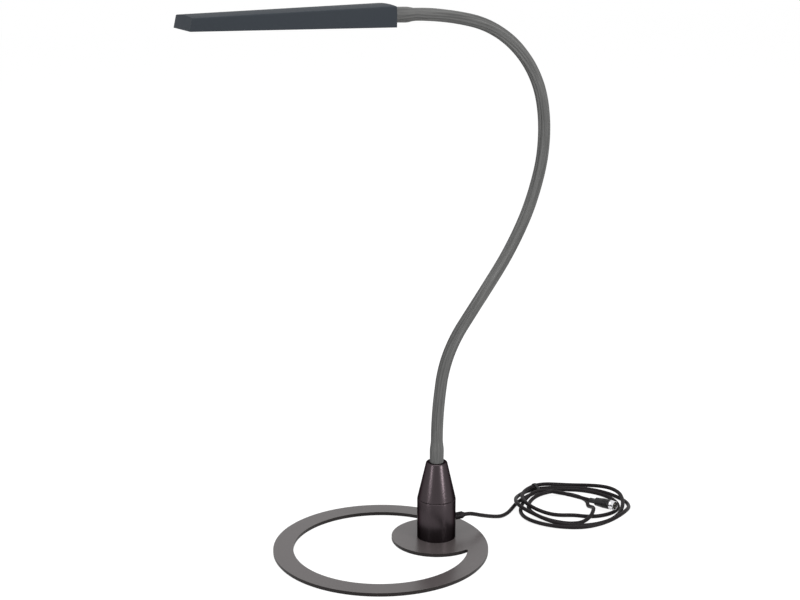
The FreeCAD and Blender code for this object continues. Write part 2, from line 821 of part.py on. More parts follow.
# The head is built about the point where the neck enters it, with its tip towards -X

HEAD_HINGE, HEAD_HEADING = HINGES[-1]
HEAD_PLACE = FreeCAD.Placement(
    HEAD_HINGE + heading_vector(HEAD_HEADING) * float(cell("head_ferrule_length")),
    FreeCAD.Rotation(Y, 180.0 - HEAD_HEADING))

head_foot = -cell("head_neck_height")
rear_top_level = head_foot + cell("head_rear_height")
floor_bottom = head_foot + cell("floor_recess")
floor_top = floor_bottom + cell("floor_thickness")
roof_slope = (cell("head_rear_height") - cell("head_tip_height")) \
    / (cell("head_length") - cell("head_tip_rake"))
window_end = cell("head_length") - cell("window_tip_inset")
window_length = window_end - cell("window_start")
channel_start = cell("window_start") - cell("diffuser_flange")
channel_end = window_end + cell("diffuser_flange")
inner_half_width = cell("head_width") / 2 - cell("head_wall")
pillar_across = inner_half_width - cell("pillar_side_gap") - cell("pillar_radius")
pillar_places = (cell("pillar_rear_place"), cell("head_length") - cell("pillar_tip_inset"))


def roof_at(distance):
    """The height of the cavity's roof at a distance from the rear face."""
    return rear_top_level - cell("head_wall") - roof_slope * distance


flange_top = floor_top + cell("diffuser_flange_thickness")
channel_top = roof_at(channel_end) - cell("channel_roof_gap")
driver_bottom = channel_top + cell("driver_stand")
driver_top = driver_bottom + cell("driver_thickness")
switch_foot = driver_bottom - cell("switch_body_height")
corner_clip = cell("head_rear_round") / 2
# the cavity's slanted corner behind the rear round: height less distance from the rear face
corner_line = roof_at(cell("head_wall") + corner_clip) - corner_clip - cell("head_wall")


def in_head(thing):
    """Moves a piece from the head's own frame to its place on the neck."""
    thing.Placement = HEAD_PLACE.multiply(thing.Placement)
    return thing


def head_box(label, low_x, high_x, width, low_z, high_z):
    """A block that is centred across the head."""
    thing = primitive("Part::Box", label, Length=high_x - low_x, Width=width,
                      Height=high_z - low_z)
    thing.Placement.Base = FreeCAD.Vector(float(low_x), -float(width) / 2, float(low_z))
    return thing


def build_head_shell():
    length = cell("head_length")
    tip_top = head_foot + cell("head_tip_height")
    rake = cell("head_tip_rake")
    wall = cell("head_wall")
    shell = new_body("head_shell")
    side = new_sketch(shell, "XZ_Plane")
    add_outline(side, [(0.0, head_foot), (0.0, rear_top_level), (-(length - rake), tip_top),
                       (-length, head_foot)])
    pad(shell, side, cell("head_width"), symmetric=True)

    def rear_top(edge):
        middle = edge.CenterOfMass
        return abs(middle.x) < 0.01 and abs(middle.z - float(rear_top_level)) < 0.01

    fillet(shell, cell("head_rear_round"), rear_top)
    half = float(cell("head_width")) / 2

    def long_top(edge):
        middle = edge.CenterOfMass
        return abs(abs(middle.y) - half) < 0.01 and middle.z > 0.0 and edge.Length > 1.0 \
            and abs(middle.x) > 0.6

    fillet(shell, cell("head_edge_round"), long_top)
    inside = new_sketch(shell, "XZ_Plane")
    clip = corner_clip
    deep = head_foot - wall
    tip_inner = length - wall
    add_outline(inside, [
        (-wall, deep), (-wall, roof_at(wall + clip) - clip), (-(wall + clip), roof_at(wall + clip)),
        (-(tip_inner - rake), roof_at(tip_inner - rake)), (-tip_inner, head_foot),
        (-tip_inner, deep)])
    pocket(shell, inside, inner_half_width * 2, symmetric=True)
    neck_hole = new_sketch(shell, "YZ_Plane")
    add_circle(neck_hole, cell("spigot_radius") + cell("tube_gap") / 2, 0.0, 0.0)
    pocket(shell, neck_hole, wall * 2, upward=False)
    for place in pillar_places:
        feet = new_sketch(shell, "XY_Plane", floor_top)
        for side_of in (-1, 1):
            add_circle(feet, cell("pillar_radius"), -place, pillar_across * side_of)
        pad(shell, feet, roof_at(place) - floor_top + wall / 2)
    taps = new_sketch(shell, "XY_Plane", floor_top)
    for place, across in head_screw_spots():
        add_circle(taps, cell("head_screw_radius") + cell("thread_gap"), -place, across)
    pocket(shell, taps, cell("head_screw_length") - cell("floor_thickness") + 0.5)
    keep("head_shell", in_head(shell))


def head_screw_spots():
    """Where the four screws go, as distance from the rear face and place across."""
    return [(place, pillar_across * side_of) for place in pillar_places for side_of in (-1, 1)]


def build_head_floor():
    gap = cell("floor_gap")
    wall = cell("head_wall")
    floor = new_body("head_floor")
    sheet_outline = new_sketch(floor, "XY_Plane", floor_bottom)
    half = inner_half_width - gap
    slant = cell("head_tip_rake") / cell("head_tip_height")
    far = cell("head_length") - wall - gap - slant * (cell("floor_recess")
                                                      + cell("floor_thickness"))
    add_box(sheet_outline, -far, -half, -(wall + gap), half)
    pad(floor, sheet_outline, cell("floor_thickness"))
    window = new_sketch(floor, "XY_Plane", floor_bottom)
    add_box(window, -window_end, -(cell("window_width") / 2), -cell("window_start"),
            cell("window_width") / 2)
    add_circle(window, cell("button_radius") + cell("button_gap"), -cell("button_place"), 0.0)
    for place, across in head_screw_spots():
        add_circle(window, cell("head_screw_radius") + cell("thread_gap") * 3, -place, across)
    pocket(floor, window)
    sinks = new_sketch(floor, "XY_Plane", floor_bottom)
    for place, across in head_screw_spots():
        add_circle(sinks, cell("head_screw_head_radius") + cell("thread_gap") * 3, -place, across)
    pocket(floor, sinks, cell("head_screw_head_depth"))
    keep("head_floor", in_head(floor))
    screws = []
    for index, (place, across) in enumerate(head_screw_spots(), start=1):
        screw = countersunk_screw(f"head_screw_{index}", cell("head_screw_head_radius"),
                                  cell("head_screw_head_depth"), cell("head_screw_radius"),
                                  cell("head_screw_length"))
        screw.Placement.Base = FreeCAD.Vector(-float(place), float(across), float(floor_bottom))
        screws.append(in_head(screw))
    group("head_screws", screws)


def build_light():
    gap = cell("diffuser_gap")
    flange = cell("diffuser_flange")
    width = cell("window_width")
    pane = head_box("diffuser_pane", -(window_end - gap), -(cell("window_start") + gap),
                    width - gap * 2, floor_bottom, floor_top)
    rim = head_box("diffuser_rim", -(window_end + flange), -(cell("window_start") - flange),
                   width + flange * 2, floor_top, flange_top)
    keep("diffuser", in_head(join("diffuser", [pane, rim])))

    wall = cell("channel_wall")
    channel_width = width + cell("channel_seat") * 2
    outer = head_box("channel_outer", -channel_end, -channel_start, channel_width,
                     flange_top, channel_top)
    inner = head_box("channel_inner", -(channel_end + wall), -(channel_start - wall),
                     channel_width - wall * 2, flange_top - wall, channel_top - wall)
    keep("light_channel", in_head(cut("light_channel", outer, inner)))

    inset = cell("led_board_inset")
    board_top = channel_top - wall
    board_foot = board_top - cell("led_board_thickness")
    keep("led_board", in_head(head_box(
        "led_board", -(channel_end - inset), -(channel_start + inset),
        cell("led_board_width"), board_foot, board_top)))
    count = int(float(cell("led_count")))
    pitch = window_length / count
    chips = []
    for index in range(count):
        near = cell("window_start") + pitch * (index + 0.5) - cell("led_length") / 2
        chips.append(in_head(head_box(f"led_chip_{index + 1}", -(near + cell("led_length")), -near,
                                      cell("led_width"), board_foot - cell("led_height"),
                                      board_foot)))
    group("led_chips", chips)
    EXPECTED_SOLIDS["led_chips"] = count


def build_driver():
    """The board above the channel, its larger parts, the switch below it and the wires."""
    start = cell("driver_start")
    end = start + cell("driver_length")
    parts = [head_box("driver_sheet", -end, -start, cell("driver_width"), driver_bottom,
                      driver_top)]
    for label, wide in (("chip", "chip_length"), ("choke", "choke_length"),
                        ("terminal", "terminal_width")):
        near = start + cell(f"{label}_place")
        parts.append(head_box(f"driver_{label}", -(near + cell(f"{label}_length")), -near,
                              cell(wide), driver_top, driver_top + cell(f"{label}_height")))
    keep("driver_board", in_head(join("driver_board", parts)))

    spacers = []
    inset = cell("spacer_radius") * 2
    for index, (place, side_of) in enumerate([(place, side_of) for place in
                                              (channel_start + inset, end - inset)
                                              for side_of in (-1, 1)], start=1):
        spacer = primitive("Part::Cylinder", f"board_spacer_{index}",
                           Radius=cell("spacer_radius"), Height=cell("driver_stand"))
        spacer.Placement.Base = FreeCAD.Vector(
            -float(place), side_of * float(cell("driver_width") / 2 - inset), float(channel_top))
        spacers.append(in_head(spacer))
    group("board_spacers", spacers)

    place = cell("button_place")
    half = cell("switch_body") / 2
    block = head_box("switch_block", -(place + half), -(place - half), cell("switch_body"),
                     switch_foot, driver_bottom)
    plunger = primitive("Part::Cylinder", "switch_plunger", Radius=cell("switch_plunger_radius"),
                        Height=cell("switch_plunger_height"))
    plunger.Placement.Base = FreeCAD.Vector(
        -float(place), 0, float(switch_foot - cell("switch_plunger_height")))
    keep("tact_switch", in_head(join("tact_switch", [block, plunger])))


def build_button():
    """The button's flange rests on the floor; pressing lifts it against the tact switch."""
    play = cell("button_seat_gap")
    flange_foot = floor_top + play
    flange_head = flange_foot + cell("button_flange_thickness")
    plunger_tip = switch_foot - cell("switch_plunger_height")
    stem_top = plunger_tip - cell("button_travel") - cell("button_stop_gap")
    face = head_foot + play
    button = turned("switch_button", [
        (0.0, face), (cell("button_radius"), face), (cell("button_radius"), flange_foot),
        (cell("button_flange_radius"), flange_foot), (cell("button_flange_radius"), flange_head),
        (cell("button_stem_radius"), flange_head), (cell("button_stem_radius"), stem_top),
        (0.0, stem_top)])
    button.Placement.Base = FreeCAD.Vector(-float(cell("button_place")), 0, 0)
    keep("switch_button", in_head(button))

    wire = float(cell("spring_wire_radius"))
    low = float(flange_head) + wire + 0.02
    high = float(stem_top) - wire
    path, start, heading = spring_path(float(cell("spring_radius")), low, high,
                                       float(cell("spring_turns")))
    spring = doc.addObject("Part::Feature", "switch_spring")
    spring.Shape = tube_along(path, wire, start, heading)
    spring.Placement.Base = FreeCAD.Vector(-float(cell("button_place")), 0, 0)
    keep("switch_spring", in_head(spring))


def spring_path(radius, low, high, turns):
    """A helix drawn with arcs, two to an eighth of a turn, with its start and first heading."""
    count = round(turns * 8)
    rise = (high - low) / (turns * 2 * math.pi)
    course = []
    for index in range(count + 1):
        angle = turns * 2 * math.pi * index / count
        place = FreeCAD.Vector(radius * math.cos(angle), radius * math.sin(angle),
                               low + rise * angle)
        heading = FreeCAD.Vector(-radius * math.sin(angle), radius * math.cos(angle), rise)
        course.append((place, heading.normalize()))
    edges = []
    for (place, heading), (after, after_heading) in zip(course, course[1:]):
        edges += biarc(place, heading, after, after_heading)[0]
    return Part.Wire(edges), course[0][0], course[0][1]


def build_socket():
    """The block inside the rear wall that holds the neck's spigot, with its two screws."""
    wall = cell("head_wall") + cell("floor_gap")
    far = wall + cell("socket_length")
    low = floor_top + cell("socket_floor_gap")
    high = roof_at(far) - cell("socket_roof_gap")
    shoulder = high - corner_line + cell("floor_gap") * 1.5
    block = new_body("neck_socket")
    side = new_sketch(block, "XZ_Plane")
    add_outline(side, [(-far, low), (-far, high), (-shoulder, high),
                       (-wall, high - (shoulder - wall)), (-wall, low)])
    pad(block, side, cell("socket_width"), symmetric=True)
    bore = new_sketch(block, "YZ_Plane")
    add_circle(bore, cell("spigot_radius") + cell("thread_gap"), 0.0, 0.0)
    pocket(block, bore)
    taps = new_sketch(block, "XY_Plane", low)
    spots = (wall + cell("socket_length") / 4, wall + cell("socket_length") * 0.75)
    for place in spots:
        add_circle(taps, cell("socket_screw_radius") + cell("thread_gap"), -place, 0.0)
    pocket(block, taps, -low)
    keep("neck_socket", in_head(block))
    screws = []
    reach = -low - cell("spigot_radius") - cell("thread_gap")
    for index, place in enumerate(spots, start=1):
        rod = primitive("Part::Cylinder", f"socket_screw_{index}",
                        Radius=cell("socket_screw_radius"), Height=reach)
        rod.Placement.Base = FreeCAD.Vector(-float(place), 0, float(low))
        screws.append(in_head(rod))
    group("socket_screws", screws)


def wire_pair(label, points, across, radius):
    """Two parallel wires along the same bends, one each side of the head's middle."""
    wires = []
    for side_of in (-1, 1):
        corners = [FreeCAD.Vector(x, side_of * across, z) for x, z in points]
        path, _ = tube_path(corners)
        wire = doc.addObject("Part::Feature", f"{label}_{side_of + 2}")
        wire.Shape = tube_along(path, radius, corners[0], corners[1] - corners[0])
        wires.append(in_head(wire))
    group(label, wires)


def build_wires():
    """The pair from the neck to the driver board, and the pair from it to the light board."""
    radius = float(cell("wire_radius"))
    gap = float(cell("wire_gap"))
    out = -float(cell("head_wall") + cell("floor_gap") + cell("socket_length"))
    land = -float(cell("driver_start"))
    top = float(driver_top) + radius + gap
    wire_pair("neck_wires", [(out + float(cell("neck_wire_start")), 0.0), (out - radius, radius / 4),
                             (land + radius * 2, top),
                             (land - float(cell("neck_wire_landing")), top)],
              float(cell("neck_wire_across")), radius)
    board_end = -float(channel_start + cell("led_board_inset"))
    low = float(channel_top - cell("channel_wall") - cell("led_wire_drop")) - radius
    high = float(driver_bottom) - radius - gap
    clear = -float(channel_start) + float(cell("led_wire_clear"))
    climb = float(cell("led_wire_climb"))
    wire_pair("led_wires", [(board_end + gap, low), (clear, low),
                            (clear + climb, high), (clear + climb * 2, high)],
              float(cell("led_wire_across")), radius)


# Cord: straight runs joined by arcs that are tangent to them


def tube_path(corners):
    """A wire through the corners, with each arc as large as its two runs allow."""
    edges = []
    radii = []
    last = corners[0]
    for before, corner, after in zip(corners, corners[1:], corners[2:]):
        back = before - corner
        ahead = after - corner
        half_turn = (math.pi - back.getAngle(ahead)) / 2
        trim = 0.45 * min(back.Length, ahead.Length)
        radii.append(trim / math.tan(half_turn))
        back.normalize()
        ahead.normalize()
        start = corner + back * trim
        end = corner + ahead * trim
        to_centre = (back + ahead).normalize()
        centre = corner + to_centre * math.hypot(trim, radii[-1])
        edges.append(Part.LineSegment(last, start).toShape())
        edges.append(Part.Arc(start, centre - to_centre * radii[-1], end).toShape())
        last = end
    edges.append(Part.LineSegment(last, corners[-1]).toShape())
    return Part.Wire(edges), radii


def point(values):
    return FreeCAD.Vector(*values)


def coil_place(turn, reach, height):
    angle = math.radians(float(cell("coil_start_angle")) - turn)
    return FreeCAD.Vector(float(cell("coil_centre_x")) + reach * math.cos(angle),
                          float(cell("coil_centre_y")) + reach * math.sin(angle), height)


def smooth_slopes(turns, values):
    """Slopes for a curve that stays between its waypoints."""
    steps = [math.radians(after - before) for before, after in zip(turns, turns[1:])]
    rates = [(after - before) / step
             for before, after, step in zip(values, values[1:], steps)]
    slopes = [rates[0]]
    for index in range(1, len(values) - 1):
        before, after = rates[index - 1], rates[index]
        if before * after <= 0:
            slopes.append(0.0)
            continue
        near = 2 * steps[index] + steps[index - 1]
        far = steps[index] + 2 * steps[index - 1]
        slopes.append((near + far) / (near / before + far / after))
    slopes.append(rates[-1])
    return slopes


def coil_course():
    """The coil's waypoints in space, each with the cord's heading there."""
    turns = [row[0] for row in COIL_ROUTE]
    reach_slopes = smooth_slopes(turns, [row[1] for row in COIL_ROUTE])
    height_slopes = smooth_slopes(turns, [row[2] for row in COIL_ROUTE])
    course = []
    for row, outward, upward in zip(COIL_ROUTE, reach_slopes, height_slopes):
        angle = math.radians(float(cell("coil_start_angle")) - row[0])
        heading = FreeCAD.Vector(outward * math.cos(angle) + row[1] * math.sin(angle),
                                 outward * math.sin(angle) - row[1] * math.cos(angle), upward)
        course.append((coil_place(*row), heading.normalize()))
    first = course[0][0]
    course[0] = (first, (first - point(LEAD_ROUTE[-1])).normalize())
    axis = connector_axis()
    course.append((point(CONNECTOR_TAIL) - axis * straight_end(), axis))
    return course


def straight_end():
    """Each end of the coil is straight for one diameter."""
    return 2 * float(cell("cord_radius"))


def connector_axis():
    return (point(CONNECTOR_END) - point(CONNECTOR_TAIL)).normalize()


def arc_to(start, heading, end):
    """An arc from a place and heading to another place, with its radius."""
    chord = end - start
    along = FreeCAD.Vector(chord).normalize()
    cosine = max(-1.0, min(1.0, heading.dot(along)))
    bend = 2 * math.acos(cosine)
    if bend < 1e-4:
        return Part.LineSegment(start, end).toShape(), 1e6
    radius = chord.Length / (2 * math.sin(bend / 2))
    side = (along - heading * cosine).normalize()
    middle = start + heading * radius * math.sin(bend / 2) \
        + side * radius * (1 - math.cos(bend / 2))
    return Part.Arc(start, middle, end).toShape(), radius


def biarc(start, heading, end, end_heading):
    """Two arcs that leave one waypoint and reach the next along their headings."""
    chord = end - start
    both = heading + end_heading
    spread = 2 * (1 - heading.dot(end_heading))
    if spread < 1e-9:
        reach = chord.dot(chord) / (4 * chord.dot(end_heading))
    else:
        lean = chord.dot(both)
        reach = (-lean + math.sqrt(lean ** 2 + spread * chord.dot(chord))) / spread
    first = start + heading * reach
    second = end - end_heading * reach
    middle = (first + second) * 0.5
    along = (second - first).normalize()
    edge, radius = arc_to(start, heading, middle)
    other, other_radius = arc_to(middle, along, end)
    return [edge, other], [radius, other_radius]


def least_gap(wire, diameter, apart):
    """The smallest gap of a tube to itself, between points further apart along it."""
    places = []
    lengths = []
    run = 0.0
    for edge in wire.Edges:
        count = max(2, int(edge.Length / 1.2))
        for index in range(count):
            places.append(edge.valueAt(edge.FirstParameter + index / count
                                       * (edge.LastParameter - edge.FirstParameter)))
            lengths.append(run + index / count * edge.Length)
        run += edge.Length
    least = 1e9
    for index, place in enumerate(places):
        for other in range(index + 1, len(places)):
            if lengths[other] - lengths[index] > apart:
                least = min(least, (places[other] - place).Length)
    return least - diameter


def check_tube(label, shape, wire, radius, radii):
    """Prints how tight a tube bends and how its volume compares with its length."""
    expected = math.pi * radius ** 2 * wire.Length
    print(f"{label}: length {wire.Length:.1f}, tightest bend {min(radii):.1f}, "
          f"volume over section times length {shape.Volume / expected:.4f}")
    if min(radii) <= radius:
        raise RuntimeError(f"{label} bends tighter than its own radius")


def build_cord():
    radius = float(cell("cord_radius"))
    course = coil_course()
    start, heading = course[0]
    coil_start = start - heading * straight_end()
    corners = [FreeCAD.Vector(float(cell("relief_reach")), 0, float(outlet_z))]
    corners += [point(row) for row in LEAD_ROUTE] + [coil_start]
    path, radii = tube_path(corners)
    lead = doc.addObject("Part::Feature", "cord_lead")
    lead.Shape = tube_along(path, radius, corners[0], corners[1] - corners[0])
    check_tube("cord_lead", lead.Shape, path, radius, radii)
    keep("cord_lead", lead)

    edges = [Part.LineSegment(coil_start, start).toShape()]
    radii = []
    for (place, heading), (after, after_heading) in zip(course, course[1:]):
        pair, bends = biarc(place, heading, after, after_heading)
        edges += pair
        radii += bends
    edges.append(Part.LineSegment(course[-1][0], point(CONNECTOR_TAIL)).toShape())
    path = Part.Wire(edges)
    coil = doc.addObject("Part::Feature", "cord_coil")
    coil.Shape = tube_along(path, radius, coil_start, course[0][1])
    check_tube("cord_coil", coil.Shape, path, radius, radii)
    print(f"cord_coil: least gap to itself {least_gap(path, 2 * radius, 18.0):.2f}")
    keep("cord_coil", coil)

    # the tie is a band drawn tight round the strands of three loops
    rows = [min(COIL_ROUTE, key=lambda row: abs(row[0] - turn)) for turn in TIED_TURNS]
    centres = [coil_place(*row) for row in rows]
    triangle = Part.Face(Part.makePolygon(centres + centres[:1]))
    inner = triangle.makeOffset2D(radius + float(cell("tie_gap")))
    outer = triangle.makeOffset2D(radius + float(cell("tie_gap") + cell("tie_thickness")))
    angle = math.radians(float(cell("coil_start_angle")) - TIED_TURNS[0])
    across = FreeCAD.Vector(math.sin(angle), -math.cos(angle), 0) * float(cell("tie_width"))
    band = outer.extrude(across).cut(inner.extrude(across))
    band.translate(across * -0.5)
    tie = doc.addObject("Part::Feature", "cord_tie")
    tie.Shape = band
    keep("cord_tie", tie)


def on_connector(thing):
    thing.Placement = frame_along(point(CONNECTOR_TAIL), connector_axis())
    return thing


def build_connector():
    """A round connector: a moulded grip, a bright shell, its insert and its pins."""
    tail = cell("connector_tail_length")
    grip_end = tail + cell("connector_grip_length")
    collar_end = grip_end + cell("connector_collar_length")
    mouth = collar_end + cell("connector_shell_length")
    foot = cell("connector_grip_foot_radius")
    wide = cell("connector_grip_radius")
    depth = cell("connector_groove_depth")
    outline = [(0.0, 0.0), (cell("connector_tail_radius"), 0.0),
               (cell("connector_tail_radius"), tail),
               (foot, tail + cell("connector_foot_taper"))]
    length = cell("connector_grip_length")
    for share in (0.6, 0.73, 0.86):
        place = tail + length * share
        level = foot + (wide - foot) * share
        outline += [(level, place), (level - depth, place + depth / 2),
                    (level - depth, place + depth * 2), (level, place + depth * 2.5)]
    bevel = cell("connector_edge_chamfer")
    outline += [(wide, grip_end - bevel), (wide - bevel, grip_end), (0.0, grip_end)]
    keep("connector_grip", on_connector(turned("connector_grip", outline)))

    shell = cell("connector_shell_radius")
    bore = shell - cell("connector_shell_wall")
    collar = cell("connector_collar_radius")
    floor = collar_end + cell("connector_shell_floor")
    keep("connector_shell", on_connector(turned("connector_shell", [
        (0.0, grip_end), (collar, grip_end), (collar, collar_end), (shell, collar_end),
        (shell, mouth), (bore, mouth), (bore, floor), (0.0, floor)])))
    insert = bore - cell("thread_gap")
    face = floor + cell("connector_insert_length")
    pin = cell("connector_pin_radius")
    ring = cell("connector_pin_circle")
    count = int(float(cell("connector_pin_count")))
    spots = screw_spots(ring, count, 45.0)
    body = new_body("connector_insert")
    sketch = new_sketch(body, "XY_Plane", floor)
    add_circle(sketch, insert)
    for x, y in spots:
        add_circle(sketch, pin, x, y)
    pad(body, sketch, face - floor)
    keep("connector_insert", on_connector(body))
    pins = []
    for index, (x, y) in enumerate(spots, start=1):
        rod = primitive("Part::Cylinder", f"connector_pin_{index}", Radius=pin,
                        Height=cell("connector_pin_length"))
        rod.Placement.Base = FreeCAD.Vector(float(x), float(y), float(floor))
        rod.Placement = frame_along(point(CONNECTOR_TAIL), connector_axis()) \
            .multiply(rod.Placement)
        pins.append(rod)
    group("connector_pins", pins)
    EXPECTED_SOLIDS["connector_pins"] = count


build_base()
build_boss()
build_cone()
build_cord_outlet()
build_neck()
build_ferrules()
build_head_shell()
build_head_floor()
build_light()
build_driver()
build_button()
build_socket()
build_wires()
build_cord()
build_connector()
doc.recompute()

for thing in doc.Objects:
    if "Invalid" in thing.State or "Error" in thing.State:
        raise RuntimeError(f"{thing.Label} failed: {thing.State}")
for label, thing in nodes.items():
    shape = thing.Shape
    if shape.isNull() or not shape.isValid():
        raise RuntimeError(f"{label} has no valid shape")
    wanted = EXPECTED_SOLIDS.get(label, 1)
    if len(shape.Solids) != wanted:
        raise RuntimeError(f"{label} has {len(shape.Solids)} solids, not {wanted}")

os.makedirs("parts", exist_ok=True)
for label, thing in nodes.items():
    thing.Shape.exportStep(os.path.join("parts", label + ".step"))
print(len(nodes), "nodes written")
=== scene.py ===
"""Looks for a gooseneck desk lamp: light bar, bowed neck, boss on a ring base, and its lead."""

from __future__ import annotations

import json
import logging
import math
from collections.abc import Callable, Sequence
from dataclasses import dataclass, field
from enum import Enum

import bmesh
import bpy
from mathutils import Matrix, Vector, noise

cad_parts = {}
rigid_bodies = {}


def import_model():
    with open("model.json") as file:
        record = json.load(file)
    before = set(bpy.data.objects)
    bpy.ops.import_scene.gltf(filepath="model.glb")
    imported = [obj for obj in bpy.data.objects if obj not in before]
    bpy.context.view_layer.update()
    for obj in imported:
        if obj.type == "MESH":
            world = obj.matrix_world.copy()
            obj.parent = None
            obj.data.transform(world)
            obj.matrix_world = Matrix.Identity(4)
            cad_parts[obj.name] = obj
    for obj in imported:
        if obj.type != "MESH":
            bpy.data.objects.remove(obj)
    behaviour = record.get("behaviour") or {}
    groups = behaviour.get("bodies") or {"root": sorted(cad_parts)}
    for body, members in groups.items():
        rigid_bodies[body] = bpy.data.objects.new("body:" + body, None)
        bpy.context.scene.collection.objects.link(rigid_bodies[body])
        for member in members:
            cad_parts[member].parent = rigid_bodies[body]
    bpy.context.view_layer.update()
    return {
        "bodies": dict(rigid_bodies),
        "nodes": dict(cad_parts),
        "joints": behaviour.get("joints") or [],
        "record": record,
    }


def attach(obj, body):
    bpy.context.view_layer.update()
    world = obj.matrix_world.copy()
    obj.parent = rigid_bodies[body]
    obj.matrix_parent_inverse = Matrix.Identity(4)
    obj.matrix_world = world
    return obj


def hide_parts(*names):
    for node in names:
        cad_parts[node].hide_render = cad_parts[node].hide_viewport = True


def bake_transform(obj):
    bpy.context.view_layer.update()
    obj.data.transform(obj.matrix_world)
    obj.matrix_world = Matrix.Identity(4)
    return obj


MM = 0.001
LOG = logging.getLogger("desk_lamp")

Point = tuple[float, float, float]
Colour = tuple[float, float, float]
Vert = bmesh.types.BMVert
Edge = bmesh.types.BMEdge
Mesh = bmesh.types.BMesh
Piece = bpy.types.Object
Material = bpy.types.Material
Node = bpy.types.Node
NodeTree = bpy.types.NodeTree
Socket = bpy.types.NodeSocket


class Pattern(Enum):
    """The lines that a finish can carry, besides its grain."""

    PLAIN = "plain"
    TURNED = "turned"
    LENGTHWISE = "lengthwise"
    BRUSHED = "brushed"


class Graph:
    """A node tree being built, with short calls to add nodes and join them."""

    def __init__(self, tree: NodeTree) -> None:
        """Keeps the tree."""
        self.tree = tree

    def add(self, kind: str, inputs: dict[str, object] | None = None,
            **settings: object) -> Node:
        """Adds a node.

        Args:
            kind: The node's type name in Blender.
            inputs: Values or sockets for its inputs, by name.
            settings: Properties of the node itself.

        Returns:
            The new node.
        """
        node = self.tree.nodes.new(kind)
        for name, value in settings.items():
            setattr(node, name, value)
        for name, value in (inputs or {}).items():
            self.feed(node.inputs[name], value)
        return node

    def feed(self, socket: Socket, value: object) -> None:
        """Links a socket to the input, or sets the input's own value."""
        if isinstance(value, Socket):
            self.tree.links.new(value, socket)
        else:
            socket.default_value = value

    def maths(self, operation: str, first: object, second: object = 0.0) -> Socket:
        """Adds one Math node and returns its result."""
        node = self.add("ShaderNodeMath", operation=operation)
        self.feed(node.inputs[0], first)
        self.feed(node.inputs[1], second)
        return node.outputs[0]

    def spread(self, value: object, low: object, high: object) -> Socket:
        """Maps a value of 0 to 1 onto low to high."""
        node = self.add("ShaderNodeMapRange", {"Value": value, "To Min": low, "To Max": high})
        return node.outputs["Result"]

    def shaded(self, colour: object, shade: object) -> Socket:
        """Multiplies a colour by a value, with a Mix node's colour sockets."""
        node = self.add("ShaderNodeMix", data_type="RGBA", blend_type="MULTIPLY")
        factor, first, second, result = 0, 6, 7, 2
        self.feed(node.inputs[factor], 1.0)
        self.feed(node.inputs[first], colour)
        self.feed(node.inputs[second], shade)
        return node.outputs[result]


class SurfaceGroups:
    """The effects that several finishes share, each built once as a node group."""

    def __init__(self) -> None:
        """Builds the groups."""
        self.grain = self._grain()
        self.lines = self._lines()

    @staticmethod
    def _shell(name: str, inputs: Sequence[tuple[str, str, float]],
               outputs: Sequence[str]) -> NodeTree:
        """Makes an empty group with its sockets.

        Args:
            name: The group's name.
            inputs: Each input's name, socket type and default.
            outputs: The names of the outputs, which are all plain values.

        Returns:
            The group's node tree.
        """
        tree = bpy.data.node_groups.new(name, "ShaderNodeTree")
        for label, kind, value in inputs:
            socket = tree.interface.new_socket(label, in_out="INPUT", socket_type=kind)
            if kind == "NodeSocketFloat":
                socket.default_value = value
        for label in outputs:
            tree.interface.new_socket(label, in_out="OUTPUT", socket_type="NodeSocketFloat")
        return tree

    def _grain(self) -> NodeTree:
        """Builds a fine grain with a slow drift over it, both from 0 to 1."""
        tree = self._shell("FineGrain", (("Vector", "NodeSocketVector", 0.0),
                                         ("Scale", "NodeSocketFloat", 900.0),
                                         ("Drift Scale", "NodeSocketFloat", 25.0)),
                           ("Grain", "Drift"))
        graph = Graph(tree)
        given = graph.add("NodeGroupInput").outputs
        fine = graph.add("ShaderNodeTexNoise", {"Vector": given["Vector"],
                                                "Scale": given["Scale"], "Detail": 3.0,
                                                "Roughness": 0.6})
        slow = graph.add("ShaderNodeTexNoise", {"Vector": given["Vector"],
                                                "Scale": given["Drift Scale"], "Detail": 2.0})
        graph.add("NodeGroupOutput", {"Grain": fine.outputs["Fac"], "Drift": slow.outputs["Fac"]})
        return tree

    def _lines(self) -> NodeTree:
        """Builds fine uneven lines, as many and as long as the vector is scaled to."""
        tree = self._shell("FineLines", (("Vector", "NodeSocketVector", 0.0),
                                         ("Contrast", "NodeSocketFloat", 1.0)), ("Lines",))
        graph = Graph(tree)
        given = graph.add("NodeGroupInput").outputs
        broad = graph.add("ShaderNodeTexNoise", {"Vector": given["Vector"], "Scale": 1.0,
                                                 "Detail": 4.0, "Roughness": 0.65})
        centred = graph.maths("SUBTRACT", broad.outputs["Fac"], 0.5)
        scaled = graph.maths("MULTIPLY", centred, given["Contrast"])
        graph.add("NodeGroupOutput", {"Lines": graph.maths("ADD", scaled, 0.5)})
        return tree


